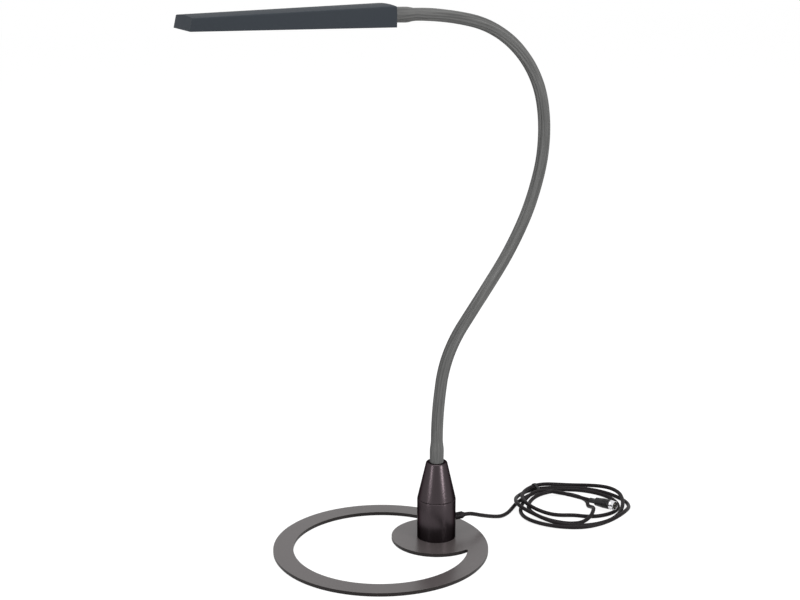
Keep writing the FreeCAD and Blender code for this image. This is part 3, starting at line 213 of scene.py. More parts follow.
@dataclass(frozen=True)
class Finish:
    """A surface finish: a colour, a gloss, a grain and sometimes lines."""

    name: str
    colour: Colour
    roughness: float
    metallic: float = 0.0
    specular: float = 0.5
    coat: float = 0.0
    coat_roughness: float = 0.2
    edge_tint: float = 1.0
    grain_scale: float = 1400.0
    grain_bump: float = 0.02
    colour_drift: float = 0.08
    roughness_drift: float = 0.06
    pattern: Pattern = Pattern.PLAIN
    line_scale: tuple[float, float, float] = (1.0, 1.0, 1.0)
    line_shade: float = 0.0
    line_bump: float = 0.0
    line_contrast: float = 1.6
    bump_reach: float = 0.0002

    def material(self, groups: SurfaceGroups) -> Material:
        """Builds the finish as a Blender material.

        Args:
            groups: The shared node groups.

        Returns:
            The material.
        """
        made = bpy.data.materials.new(self.name)
        made.use_nodes = True
        made.diffuse_color = (*self.colour, 1.0)
        graph = Graph(made.node_tree)
        made.node_tree.nodes.clear()
        place = graph.add("ShaderNodeTexCoord")
        grain = graph.add("ShaderNodeGroup", node_tree=groups.grain)
        graph.feed(grain.inputs["Vector"], place.outputs["Object"])
        grain.inputs["Scale"].default_value = self.grain_scale
        shade = graph.spread(grain.outputs["Drift"], 1.0 - self.colour_drift,
                             1.0 + self.colour_drift)
        rough = graph.spread(grain.outputs["Drift"], self.roughness - self.roughness_drift,
                             self.roughness + self.roughness_drift)
        height = graph.maths("MULTIPLY", grain.outputs["Grain"], self.grain_bump)
        if self.pattern is not Pattern.PLAIN:
            lines = self._lines(graph, groups, place)
            shade = graph.maths("MULTIPLY", shade, graph.spread(
                lines, 1.0 - self.line_shade, 1.0 + self.line_shade))
            height = graph.maths("ADD", height, graph.maths("MULTIPLY", lines, self.line_bump))
        colour = graph.shaded((*self.colour, 1.0), shade)
        bump = graph.add("ShaderNodeBump", {"Strength": 1.0, "Distance": self.bump_reach,
                                            "Height": height})
        shader = graph.add("ShaderNodeBsdfPrincipled", {
            "Base Color": colour, "Roughness": rough, "Metallic": self.metallic,
            "Specular IOR Level": self.specular, "Coat Weight": self.coat,
            "Coat Roughness": self.coat_roughness,
            "Specular Tint": (self.edge_tint, self.edge_tint, self.edge_tint, 1.0),
            "Normal": bump.outputs["Normal"]})
        graph.add("ShaderNodeOutputMaterial", {"Surface": shader.outputs["BSDF"]})
        return made

    def _lines(self, graph: Graph, groups: SurfaceGroups,
               place: Node) -> Socket:
        """Adds the finish's lines and returns their value."""
        source = place.outputs["Object"]
        if self.pattern is Pattern.TURNED:
            axes = graph.add("ShaderNodeSeparateXYZ", {"Vector": source})
            joined = graph.add("ShaderNodeCombineXYZ", {"Z": axes.outputs["Z"]})
            source = joined.outputs["Vector"]
        if self.pattern is Pattern.LENGTHWISE:
            axes = graph.add("ShaderNodeSeparateXYZ", {"Vector": place.outputs["UV"]})
            turn = graph.maths("MULTIPLY", axes.outputs["X"], math.tau)
            joined = graph.add("ShaderNodeCombineXYZ", {
                "X": graph.maths("COSINE", turn), "Y": graph.maths("SINE", turn),
                "Z": axes.outputs["Y"]})
            source = joined.outputs["Vector"]
        scaled = graph.add("ShaderNodeMapping", {"Vector": source, "Scale": self.line_scale})
        lines = graph.add("ShaderNodeGroup", node_tree=groups.lines)
        graph.feed(lines.inputs["Vector"], scaled.outputs["Vector"])
        lines.inputs["Contrast"].default_value = self.line_contrast
        return lines.outputs["Lines"]


class FinishRack:
    """All finishes of the lamp, each made into a material the first time it is asked for."""

    FINISHES = (
        Finish("BossBronze", (0.052, 0.042, 0.046), 0.30, metallic=1.0, edge_tint=0.3,
               grain_bump=0.03, pattern=Pattern.TURNED, line_scale=(1.0, 1.0, 2600.0),
               line_shade=0.08, line_bump=0.02),
        Finish("PlateBronze", (0.070, 0.060, 0.060), 0.30, grain_bump=0.05,
               colour_drift=0.10, roughness_drift=0.03),
        # Painted shade: a near-black copy of the plate's colour for its side faces.
        Finish("PlateSidePaintedShade", (0.012, 0.009, 0.009), 0.45, specular=0.2, grain_bump=0.05),
        # Painted highlight: a light colour on the plate's bevelled rims.
        Finish("RimPaintedHighlight", (0.22, 0.205, 0.20), 0.40, specular=0.3, grain_bump=0.05),
        Finish("PadRubber", (0.010, 0.009, 0.009), 0.7, specular=0.15, grain_bump=0.1),
        Finish("SleeveGrey", (0.118, 0.118, 0.116), 0.65, specular=0.15, grain_bump=0.04,
               pattern=Pattern.LENGTHWISE, line_scale=(2.6, 2.6, 1.5), line_shade=0.60,
               line_bump=0.30),
        Finish("HeadSlate", (0.036, 0.042, 0.050), 0.62, specular=0.06, grain_scale=2200.0,
               grain_bump=0.04, colour_drift=0.05),
        Finish("FloorSlate", (0.036, 0.042, 0.050), 0.62, specular=0.06, grain_scale=2200.0,
               grain_bump=0.08),
        Finish("FrostedLens", (0.80, 0.80, 0.78), 0.35, specular=0.4, coat=0.2,
               grain_bump=0.02, colour_drift=0.02),
        Finish("LeadBlack", (0.010, 0.008, 0.009), 0.45, specular=0.10, grain_bump=0.05),
        Finish("GripBlack", (0.012, 0.012, 0.013), 0.34, specular=0.28, grain_bump=0.05),
        Finish("BrightRing", (0.78, 0.78, 0.80), 0.14, metallic=1.0, grain_bump=0.005,
               roughness_drift=0.03),
        Finish("ContactBright", (0.86, 0.80, 0.66), 0.18, metallic=1.0, grain_bump=0.005,
               roughness_drift=0.03),
        Finish("BareSteel", (0.55, 0.55, 0.56), 0.30, metallic=1.0, pattern=Pattern.BRUSHED,
               line_scale=(60.0, 60.0, 2400.0), line_shade=0.10, line_bump=0.05),
        Finish("BareAluminium", (0.72, 0.72, 0.73), 0.36, metallic=1.0,
               pattern=Pattern.BRUSHED, line_scale=(40.0, 2400.0, 2400.0), line_shade=0.08,
               line_bump=0.05),
        Finish("BoardWhite", (0.72, 0.72, 0.69), 0.45, grain_bump=0.03),
        Finish("BoardGreen", (0.02, 0.12, 0.05), 0.38, coat=0.3, grain_bump=0.05),
        Finish("ChipAmber", (0.80, 0.62, 0.12), 0.3, coat=0.4),
        Finish("WireRed", (0.42, 0.02, 0.02), 0.4),
    )
    SLOT_FINISH = {
        "plate_paint": "PlateBronze", "pad_rubber": "PadRubber", "boss_paint": "BossBronze",
        "neck_grey": "SleeveGrey", "neck_grey_metal": "SleeveGrey", "head_paint": "FloorSlate",
        "steel": "BareSteel", "black_plastic": "GripBlack", "black_rubber": "LeadBlack",
        "cord_black": "LeadBlack", "bright_shell": "BrightRing",
        "contact_brass": "ContactBright", "diffuser_white": "FrostedLens",
        "channel_metal": "BareAluminium", "board_white": "BoardWhite",
        "led_yellow": "ChipAmber", "board_green": "BoardGreen", "wire_red": "WireRed"}

    def __init__(self) -> None:
        """Prepares the shared groups."""
        self.groups = SurfaceGroups()
        self.by_name = {finish.name: finish for finish in self.FINISHES}
        self.made: dict[str, Material] = {}

    def get(self, name: str) -> Material:
        """Returns the material of a finish, made once."""
        if name not in self.made:
            self.made[name] = self.by_name[name].material(self.groups)
        return self.made[name]

    def dress_frame(self, frame: dict) -> None:
        """Gives every carried-over node the finish of its own slot."""
        for row in frame["record"]["subparts"]:
            node = frame["nodes"][row["node"]]
            node.data.materials.clear()
            node.data.materials.append(self.get(self.SLOT_FINISH[row["material_slot"]]))


def only(items: Sequence, kind: type) -> list:
    """Those of an operator's results that are of one kind, such as its vertices."""
    return [item for item in items if isinstance(item, kind)]


class Shaper:
    """A mesh being shaped with bmesh operators, in metres."""

    def __init__(self, name: str) -> None:
        """Starts an empty mesh."""
        self.name = name
        self.bm = bmesh.new()

    def outline(self, corners: Sequence[tuple[float, float]]) -> list[Edge]:
        """Draws a closed outline of radius and height, in millimetres, in the XZ plane."""
        verts = [self.bm.verts.new((x * MM, 0.0, z * MM)) for x, z in corners]
        return [self.bm.edges.new(pair) for pair in zip(verts, verts[1:] + verts[:1])]

    def lathe(self, corners: Sequence[tuple[float, float]], steps: int = 96) -> None:
        """Turns a closed outline of radius and height about the Z axis."""
        edges = self.outline(corners)
        verts = list({vert for edge in edges for vert in edge.verts})
        bmesh.ops.spin(self.bm, geom=verts + edges, cent=(0, 0, 0), axis=(0, 0, 1),
                       angle=math.tau, steps=steps, use_merge=True, use_duplicate=False)
        self.clean()

    def clean(self) -> None:
        """Merges doubles, drops slivers and turns the faces outwards."""
        bmesh.ops.remove_doubles(self.bm, verts=self.bm.verts, dist=1e-6)
        bmesh.ops.dissolve_degenerate(self.bm, edges=self.bm.edges, dist=1e-7)
        bmesh.ops.recalc_face_normals(self.bm, faces=self.bm.faces)

    def soften(self, width: float, segments: int = 2,
               chosen: Callable[[Edge], bool] | None = None,
               angle: float = 30.0, finish: int = -1) -> None:
        """Bevels the sharp edges.

        Args:
            width: The bevel's width in millimetres.
            segments: How many faces make the round.
            chosen: A test that an edge has to pass.
            angle: The least angle, in degrees, between the faces of a sharp edge.
            finish: The new faces' material slot, or -1 for that of the faces beside them.
        """
        edges = [edge for edge in self.bm.edges
                 if len(edge.link_faces) == 2
                 and edge.calc_face_angle(0.0) > math.radians(angle)
                 and (chosen is None or chosen(edge))]
        bmesh.ops.bevel(self.bm, geom=edges, offset=width * MM, offset_type="OFFSET",
                        affect="EDGES", segments=segments, profile=0.5, material=finish,
                        clamp_overlap=True)

    def pull(self, faces: Sequence[bmesh.types.BMFace], move: Point | Vector) -> None:
        """Extrudes faces and moves the new ones."""
        grown = bmesh.ops.extrude_face_region(self.bm, geom=faces)["geom"]
        bmesh.ops.translate(self.bm, vec=move, verts=only(grown, Vert))

    def grow(self, edges: Sequence[Edge]) -> tuple[list[Vert], list[Edge]]:
        """Extrudes edges, and returns the new vertices and the edges between them."""
        grown = bmesh.ops.extrude_edge_only(self.bm, edges=edges)["geom"]
        verts = only(grown, Vert)
        return verts, [edge for edge in only(grown, Edge)
                       if edge.verts[0] in verts and edge.verts[1] in verts]

    def place(self, matrix: Matrix) -> None:
        """Moves the whole mesh."""
        bmesh.ops.transform(self.bm, matrix=matrix, verts=self.bm.verts)

    def done(self, material: Material, sharp: float = 32.0) -> Piece:
        """Ends the shaping.

        Args:
            material: The finish.
            sharp: Edges turned by more than this many degrees shade as sharp.

        Returns:
            The new object, at the origin.
        """
        for face in self.bm.faces:
            face.smooth = True
        for edge in self.bm.edges:
            if len(edge.link_faces) == 2:
                edge.smooth = edge.calc_face_angle(0.0) < math.radians(sharp)
        mesh = bpy.data.meshes.new(self.name)
        self.bm.to_mesh(mesh)
        self.bm.free()
        mesh.materials.append(material)
        piece = bpy.data.objects.new(self.name, mesh)
        bpy.context.scene.collection.objects.link(piece)
        return piece


def settle(piece: Piece, body: str, slot: str, *nodes: str) -> Piece:
    """Makes a piece ride on a body and hides the nodes that it stands for."""
    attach(piece, body)
    if nodes:
        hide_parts(*nodes)
    LOG.info("%s rides on %s", piece.name, body)
    return piece


def along(start: Vector, direction: Vector) -> Matrix:
    """A matrix that stands the Z axis along a direction at a place."""
    turn = Vector((0, 0, 1)).rotation_difference(direction).to_matrix().to_4x4()
    return Matrix.Translation(start) @ turn


@dataclass
class RingBase:
    """The flat base: a ring with a disc that touches it from inside. Sizes in millimetres."""

    ring_radius: float = 110.0
    ring_opening: float = 89.5
    disc_radius: float = 46.5
    tip_round: float = 1.6
    bottom: float = 1.0
    thickness: float = 3.0
    edge_round: float = 0.45
    ring_steps: int = 360

    @property
    def ring_centre(self) -> float:
        """The ring centre's X: the disc touches the ring's outer edge from inside."""
        return self.disc_radius - self.ring_radius

    def build(self, rack: FinishRack) -> None:
        """Shapes the plate from a circle and the crescent cut out of it."""
        shape = Shaper("plate_sheet")
        bm = shape.bm
        turn = Matrix.Translation((self.ring_centre * MM, 0, self.bottom * MM))
        bmesh.ops.create_circle(bm, cap_ends=False, segments=self.ring_steps,
                                radius=self.ring_radius * MM, matrix=turn)
        self._crescent(bm)
        bmesh.ops.remove_doubles(bm, verts=bm.verts, dist=2e-6)
        bmesh.ops.triangle_fill(bm, use_beauty=True, use_dissolve=False, edges=bm.edges[:])
        shape.pull(bm.faces[:], (0, 0, self.thickness * MM))
        bmesh.ops.recalc_face_normals(bm, faces=bm.faces)
        # Side faces take the near-black copy of the plate's colour: painted shade on the plate's
        # sides.
        for face in bm.faces:
            face.material_index = int(abs(face.normal.z) < 0.5)
        finishes = ("PlateBronze", "PlateSidePaintedShade", "RimPaintedHighlight")
        # The bevel faces take a light colour: a painted highlight along the plate's rims.
        shape.soften(self.edge_round, segments=1, angle=60.0,
                     finish=finishes.index("RimPaintedHighlight"))
        piece = shape.done(rack.get(finishes[0]))
        for finish in finishes[1:]:
            piece.data.materials.append(rack.get(finish))
        settle(piece, "base", "plate_paint", "base_plate")

    def _crescent(self, bm: Mesh) -> None:
        """Draws the crescent with four spins of one vertex, one to an arc."""
        offset = -self.ring_centre
        reach = self.ring_opening - self.tip_round
        inner = self.disc_radius + self.tip_round
        tip_x = (reach ** 2 - inner ** 2 - offset ** 2) / (2 * offset)
        tip_y = math.sqrt(inner ** 2 - tip_x ** 2)
        ring_turn = math.atan2(tip_y, tip_x + offset)
        disc_turn = math.atan2(tip_y, tip_x)
        start = bm.verts.new((self.ring_centre * MM + self.ring_opening * MM
                              * math.cos(ring_turn),
                              self.ring_opening * MM * math.sin(ring_turn), self.bottom * MM))
        # Each arc has its centre, its angle and its number of steps.
        arcs = (((self.ring_centre, 0.0), math.tau - 2 * ring_turn, 280),
                ((tip_x, -tip_y), math.pi + ring_turn - disc_turn, 12),
                ((0.0, 0.0), 2 * disc_turn - math.tau, 160),
                ((tip_x, tip_y), math.pi + ring_turn - disc_turn, 12))
        last: list[Vert] = [start]
        for (x, y), angle, steps in arcs:
            spun = bmesh.ops.spin(bm, geom=last, cent=(x * MM, y * MM, 0.0), axis=(0, 0, 1),
                                  angle=angle, steps=steps, use_duplicate=False)
            last = only(spun["geom_last"], Vert)


@dataclass
class SwivelBoss:
    """The boss cylinder, the cone that turns on it and the lead's outlet. In millimetres."""

    radius: float = 20.0
    bottom: float = 4.0
    top: float = 46.3
    shaft_bore: float = 5.4
    hollow_radius: float = 12.0
    hollow_top: float = 30.0
    recess_radius: float = 12.3
    recess_floor: float = 35.0
    seam: float = 0.12
    cone_foot: float = 19.8
    cone_rim: float = 11.0
    cone_top: float = 86.0
    cone_bore: float = 7.3
    cone_bore_end: float = 62.0
    hub_bore: float = 5.0
    hub_radius: float = 12.0
    hub_foot: float = 36.0
    groove: tuple[float, float] = (7.1, 9.9)
    groove_top: float = 40.4
    outlet_height: float = 21.7
    outlet_radius: float = 3.8
    outlet_reach: float = 32.5
    outlet_start: float = 10.4
    outlet_flange: float = 3.9
    outlet_neck: float = 3.0
    outlet_rings: tuple[float, float] = (22.6, 25.1)
    ring_depth: float = 0.25

    def build(self, rack: FinishRack) -> None:
        """Builds the boss, the cone and the outlet."""
        self._boss(rack)
        self._cone(rack)
        self._outlet(rack)

    def _boss(self, rack: FinishRack) -> None:
        """Turns the boss with its two hollows."""
        shape = Shaper("boss_barrel")
        shape.lathe([(self.shaft_bore, self.hollow_top), (self.hollow_radius, self.hollow_top),
                     (self.hollow_radius, self.bottom), (self.radius, self.bottom),
                     (self.radius, self.top - 0.6), (self.radius - 0.7, self.top),
                     (self.recess_radius, self.top), (self.recess_radius, self.recess_floor),
                     (self.shaft_bore, self.recess_floor)], steps=128)
        shape.soften(0.12, segments=2)
        settle(shape.done(rack.get("BossBronze")), "base", "boss_paint", "boss_body")

    def _cone(self, rack: FinishRack) -> None:
        """Turns the cone, its hub and the stop pin's groove."""
        shape = Shaper("boss_taper")
        foot = self.top + self.seam
        inner, outer = self.groove
        shape.lathe([(self.hub_bore, self.hub_foot), (inner, self.hub_foot),
                     (inner, self.groove_top), (outer, self.groove_top), (outer, self.hub_foot),
                     (self.hub_radius, self.hub_foot), (self.hub_radius, foot),
                     (self.cone_foot - 0.3, foot), (self.cone_foot, foot + 0.4),
                     (self.cone_rim, self.cone_top - 0.8), (self.cone_rim - 0.8, self.cone_top),
                     (self.cone_bore, self.cone_top), (self.cone_bore, self.cone_bore_end),
                     (self.hub_bore, self.cone_bore_end)], steps=128)
        shape.soften(0.25, segments=3, angle=20.0,
                     chosen=lambda edge: edge.verts[0].co.z > (self.top - 1.3) * MM)
        settle(shape.done(rack.get("BossBronze"), sharp=50.0),
               "swivel", "boss_paint", "boss_cone")

    def _outlet(self, rack: FinishRack) -> None:
        """Turns the moulded outlet, with its rings and its chamfered end."""
        start, reach = self.outlet_start, self.outlet_reach
        flange, neck, out = self.outlet_flange, self.outlet_neck, self.outlet_radius
        low = out - self.ring_depth
        rings = [corner for ring in self.outlet_rings
                 for corner in ((out, ring), (low, ring + 0.2), (low, ring + 0.7),
                                (out, ring + 0.9))]
        shape = Shaper("lead_outlet")
        shape.lathe([(0.0, start), (flange, start), (flange, start + 0.8), (neck, start + 0.8),
                     (neck, self.radius - 0.4), (out, self.radius - 0.4), *rings,
                     (out, reach - 2.2), (out - 0.4, reach - 1.8), (2.8, reach - 1.6),
                     (2.6, reach), (0.0, reach)], steps=64)
        shape.place(along(Vector((0, 0, self.outlet_height * MM)), Vector((1, 0, 0))))
        shape.clean()
        settle(shape.done(rack.get("LeadBlack"), sharp=40.0),
               "base", "black_rubber", "strain_relief")


@dataclass
class NeckPath:
    """The neck's middle line in the XZ plane: a straight foot, nine arcs and a straight end."""

    foot_height: float = 110.0
    run: float = 61.3
    turns: tuple[float, ...] = (-9.0, -27.5, 0.5, 10.0, 15.0, 21.5, 33.0, 32.5, 13.0)
    hinges: list[tuple[Vector, float]] = field(default_factory=list)

    def __post_init__(self) -> None:
        """Works out the hinge places and headings."""
        self.hinges = [(Vector((0, 0, self.foot_height * MM)), 90.0)]
        for turn in self.turns:
            place, heading = self.hinges[-1]
            self.hinges.append(self.step(place, heading, turn, self.run))

    @staticmethod
    def step(place: Vector, heading: float, turn: float, run: float) -> tuple[Vector, float]:
        """Follows one arc, or part of one, and returns the new place and heading."""
        start = math.radians(heading)
        end = math.radians(heading + turn)
        bend = run * MM / math.radians(turn)
        move = Vector((bend * (math.sin(end) - math.sin(start)), 0,
                       bend * (math.cos(start) - math.cos(end))))
        return place + move, heading + turn

    def at(self, distance: float) -> tuple[Vector, float]:
        """The place and heading at a distance from the first hinge, in millimetres."""
        if distance <= 0:
            return self.hinges[0][0] + Vector((0, 0, distance * MM)), 90.0
        index = min(int(distance / self.run), len(self.turns))
        if index >= len(self.turns):
            place, heading = self.hinges[-1]
            rest = distance - self.run * len(self.turns)
            return place + self.heading_vector(heading) * rest * MM, heading
        part = distance / self.run - index
        place, heading = self.hinges[index]
        if part < 1e-9:
            return place, heading
        return self.step(place, heading, self.turns[index] * part, self.run * part)

    @staticmethod
    def heading_vector(heading: float) -> Vector:
        """The unit vector of a heading, in degrees from +X towards +Z."""
        angle = math.radians(heading)
        return Vector((math.cos(angle), 0, math.sin(angle)))

    def frame(self, distance: float) -> Matrix:
        """A matrix at a distance: Z runs along the neck, and X points across it."""
        place, heading = self.at(distance)
        forward = self.heading_vector(heading)
        across = self.heading_vector(heading - 90.0)
        side = forward.cross(across)
        turn = Matrix((across, side, forward)).transposed().to_4x4()
        return Matrix.Translation(place) @ turn


@dataclass
class NeckSleeve:
    """The creased sleeve over the neck, in pieces that each span one hinge."""

    path: NeckPath
    radius: float = 6.2
    foot_radius: float = 7.3
    head_radius: float = 7.45
    foot_start: float = -25.0
    head_reach: float = 31.0
    wall: float = 0.9
    ribs: int = 13
    rib_depth: float = 0.50
    crease_depth: float = 0.30
    around: int = 130
    ring_step: float = 2.0
    bend_reach: float = 13.0
    drift_reach: float = 0.20
    twist_reach: float = 0.16
    rib_sharpness: float = 0.6
    crease_start: float = 0.08
    crease_gain: float = 2.2

    @property
    def length(self) -> float:
        """The neck's length between its first and last hinge."""
        return self.path.run * len(self.path.turns)

    def build(self, rack: FinishRack) -> None:
        """Builds one piece to each hinge, from the middle of one section to the next."""
        for index in range(10):
            start = self.foot_start if index == 0 else self.path.run * (index - 0.5)
            end = self.length + self.head_reach if index == 9 else self.path.run * (index + 0.5)
            piece = self._piece(rack, f"sleeve_bend_{index + 1}", start, end)
            place, heading = self.path.hinges[index]
            reach = self.path.heading_vector(heading) * self.bend_reach * MM
            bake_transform(piece)
            nodes = ["base_ferrule"] if index == 0 else [f"neck_sleeve_{index}"]
            if index == 9:
                nodes.append("head_ferrule")
            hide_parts(*nodes)

    def _radius_at(self, distance: float) -> float:
        """The sleeve's radius: wider where it is stretched over its two end fittings."""
        foot = self._ease((distance + 12.0) / 12.0)
        head = self._ease((distance - self.length - 2.0) / 9.0)
        return (self.foot_radius + (self.radius - self.foot_radius) * foot
                + (self.head_radius - self.radius) * head)

    @staticmethod
    def _ease(value: float) -> float:
        """A smooth step from 0 to 1."""
        value = min(1.0, max(0.0, value))
        return value * value * (3 - 2 * value)

    def _relief(self, angle: float, distance: float) -> float:
        """How far the surface lies under the full radius: ribs, and creases that wander."""
        past = distance - self.length
        drift = self.drift_reach * noise.noise(
            Vector((math.cos(angle), math.sin(angle), distance * 0.012)))
        near_head = self._ease((past + 14.0) / 22.0)
        drift += self.twist_reach * near_head * math.sin(past * 0.16 + angle)
        wave = 0.5 + 0.5 * math.cos((angle + drift) * self.ribs)
        rib = self.rib_depth * (1.0 - wave ** self.rib_sharpness)
        place = Vector((math.cos(angle) * 3.4, math.sin(angle) * 3.4, distance * 0.02))
        crease = max(0.0, noise.noise(place) - self.crease_start)
        return rib + self.crease_depth * min(1.0, crease * self.crease_gain)

    def _piece(self, rack: FinishRack, name: str, start: float, end: float) -> Piece:
        """Extrudes a ring along the path, then shapes its ribs.

        Args:
            rack: The finishes.
            name: The piece's name.
            start: Where the piece starts, in millimetres from the first hinge.
            end: Where it ends.

        Returns:
            The new piece.
        """
        shape = Shaper(name)
        bm = shape.bm
        count = max(2, round((end - start) / self.ring_step))
        stops = [start + (end - start) * index / count for index in range(count + 1)]
        made = bmesh.ops.create_circle(bm, cap_ends=False, segments=self.around,
                                       radius=self.radius * MM,
                                       matrix=self.path.frame(stops[0]))
        ring = made["verts"]
        edges = list({edge for vert in ring for edge in vert.link_edges})
        rings = [(stops[0], ring)]
        for before, after in zip(stops, stops[1:]):
            ring, edges = shape.grow(edges)
            move = self.path.frame(after) @ self.path.frame(before).inverted()
            bmesh.ops.transform(bm, matrix=move, verts=ring)
            rings.append((after, ring))
        known: dict[Vert, tuple[float, float]] = {}
        for distance, ring in rings:
            matrix = self.path.frame(distance)
            back = matrix.inverted()
            for vert in ring:
                local = back @ vert.co
                angle = math.atan2(local.y, local.x)
                reach = (self._radius_at(distance) - self._relief(angle, distance)) * MM
                vert.co = matrix @ Vector((math.cos(angle) * reach, math.sin(angle) * reach, 0))
                known[vert] = (angle / math.tau + 0.5, distance / 100.0)
        self._unwrap(bm, known)
        bmesh.ops.recalc_face_normals(bm, faces=bm.faces)
        bmesh.ops.solidify(bm, geom=bm.faces[:], thickness=self.wall * MM)
        return shape.done(rack.get("SleeveGrey"), sharp=60.0)

    @staticmethod
    def _unwrap(bm: Mesh,
                known: dict[Vert, tuple[float, float]]) -> None:
        """Lays out the sleeve: U runs round it, V along it."""
        layer = bm.loops.layers.uv.new("Sleeve")
        for face in bm.faces:
            turns = [known[loop.vert][0] for loop in face.loops]
            wraps = max(turns) - min(turns) > 0.5
            for loop, turn in zip(face.loops, turns):
                shift = 1.0 if wraps and turn < 0.5 else 0.0
                loop[layer].uv = (turn + shift, known[loop.vert][1])


@dataclass
class LightHead:
    """The wedge-shaped light bar, its button and its screws, in its own frame in millimetres."""

    path: NeckPath
    neck_reach: float = 31.0
    length: float = 200.0
    width: float = 47.0
    foot: float = -9.9
    rear_height: float = 19.4
    tip_height: float = 11.5
    crown: float = 1.3
    tip_rake: float = 2.5
    wall: float = 1.4
    rear_round: float = 1.2
    edge_round: float = 2.8
    button_place: float = 31.0
    button_travel_top: float = -2.27
    floor_recess: float = 0.3
    screw_across: float = 18.8
    screw_rows: tuple[float, float] = (12.0, 192.0)
    screw_radius: float = 1.85
    shank_radius: float = 1.0
    countersink: float = 0.9
    shank_length: float = 4.6
    top_slope: float = 0.04
    slices: int = 8
    slice_step: float = 2.6

    def __post_init__(self) -> None:
        """Places the head's own frame at the end of the neck."""
        place, heading = self.path.hinges[-1]
        start = place + self.path.heading_vector(heading) * self.neck_reach * MM
        tilt = math.radians(180.0 - heading)
        self.frame = Matrix.Translation(start) @ Matrix.Rotation(tilt, 4, "Y")

    def build(self, rack: FinishRack) -> None:
        """Builds the shell, the button and the screws."""
        self._shell(rack)
        self._button(rack)
        self._screws(rack)

    def _shell(self, rack: FinishRack) -> None:
        """Extrudes the side outline in slices, crowns its top and hollows it from below."""
        shape = Shaper("head_cover")
        bm = shape.bm
        foot = self.foot
        half = self.width / 2
        corners = ((0.0, foot), (0.0, foot + self.rear_height),
                   (self.tip_rake - self.length, foot + self.tip_height), (-self.length, foot))
        verts = [bm.verts.new((x * MM, -half * MM, z * MM)) for x, z in corners]
        shape.pull([bm.faces.new(verts)], (0, self.width * MM, 0))
        bmesh.ops.recalc_face_normals(bm, faces=bm.faces)
        shape.soften(self.rear_round, segments=10, chosen=lambda edge: all(
            vert.co.x > -1e-5 and vert.co.z > 0.005 for vert in edge.verts))
        shape.soften(self.edge_round, segments=8, chosen=self._is_top_rim)
        for index in range(-self.slices, self.slices + 1):
            bmesh.ops.bisect_plane(bm, geom=bm.verts[:] + bm.edges[:] + bm.faces[:],
                                   plane_co=(0, index * self.slice_step * MM, 0),
                                   plane_no=(0, 1, 0))
        for vert in bm.verts:
            if vert.co.z > 0.0:
                top = (foot + self.rear_height) * MM + vert.co.x * self.top_slope
                share = vert.co.z / top
                arch = 1.0 - (vert.co.y / (half * MM)) ** 2
                vert.co.z += self.crown * MM * arch * min(1.0, max(0.0, share))
        below = [face for face in bm.faces if face.normal.z < -0.9]
        bmesh.ops.delete(bm, geom=below, context="FACES")
        bmesh.ops.recalc_face_normals(bm, faces=bm.faces)
        bmesh.ops.solidify(bm, geom=bm.faces[:], thickness=self.wall * MM)
        shape.place(self.frame)
        settle(shape.done(rack.get("HeadSlate"), sharp=38.0), "head", "head_paint", "head_shell")

    def _is_top_rim(self, edge: Edge) -> bool:
        """Whether an edge runs along the top's long sides."""
        middle = (edge.verts[0].co + edge.verts[1].co) / 2
        on_side = abs(abs(middle.y) - self.width / 2 * MM) < 1e-5
        high = middle.z > 0.0005
        return high and on_side and edge.calc_face_angle(0.0) > math.radians(50)

    def _button(self, rack: FinishRack) -> None:
        """Turns the switch button, with a dished face and a raised rim."""
        low = self.foot
        top = self.button_travel_top
        shape = Shaper("button_cap")
        shape.lathe([(0.0, low + 0.25), (2.4, low + 0.15), (3.2, low + 0.05), (3.8, low + 0.05),
                     (3.8, low + 1.95), (4.8, low + 1.95), (4.8, low + 2.75), (1.4, low + 2.75),
                     (1.4, top), (0.0, top)], steps=64)
        shape.soften(0.15, segments=2, angle=50.0)
        shape.place(self.frame @ Matrix.Translation((-self.button_place * MM, 0, 0)))
        settle(shape.done(rack.get("GripBlack"), sharp=45.0),
               "button", "black_plastic", "switch_button")

    def _screws(self, rack: FinishRack) -> None:
        """Shapes the four countersunk screws, each with a round socket."""
        shape = Shaper("floor_screws")
        for row in self.screw_rows:
            for side in (-1, 1):
                self._one_screw(shape, row, side * self.screw_across)
        shape.clean()
        shape.place(self.frame)
        settle(shape.done(rack.get("BareSteel"), sharp=40.0), "head", "steel", "head_screws")

    def _one_screw(self, shape: Shaper, back: float, across: float) -> None:
        """Adds one screw that points up, with its head level with the floor."""
        bm = shape.bm
        level = self.foot + self.floor_recess
        base = Matrix.Translation((-back * MM, across * MM, level * MM))
        face = bmesh.ops.create_circle(bm, cap_ends=True, segments=24,
                                       radius=self.screw_radius * MM,
                                       matrix=base)["verts"][0].link_faces[0]
        rim = list(face.edges)
        bmesh.ops.inset_region(bm, faces=[face], thickness=0.9 * MM)
        shape.pull([face], (0, 0, 0.7 * MM))
        for scale, rise in ((self.shank_radius / self.screw_radius, self.countersink),
                            (1.0, self.shank_length)):
            moved, rim = shape.grow(rim)
            bmesh.ops.scale(bm, vec=(scale, scale, 1.0), space=base.inverted(), verts=moved)
            bmesh.ops.translate(bm, vec=(0, 0, rise * MM), verts=moved)
        bmesh.ops.holes_fill(bm, edges=rim, sides=0)


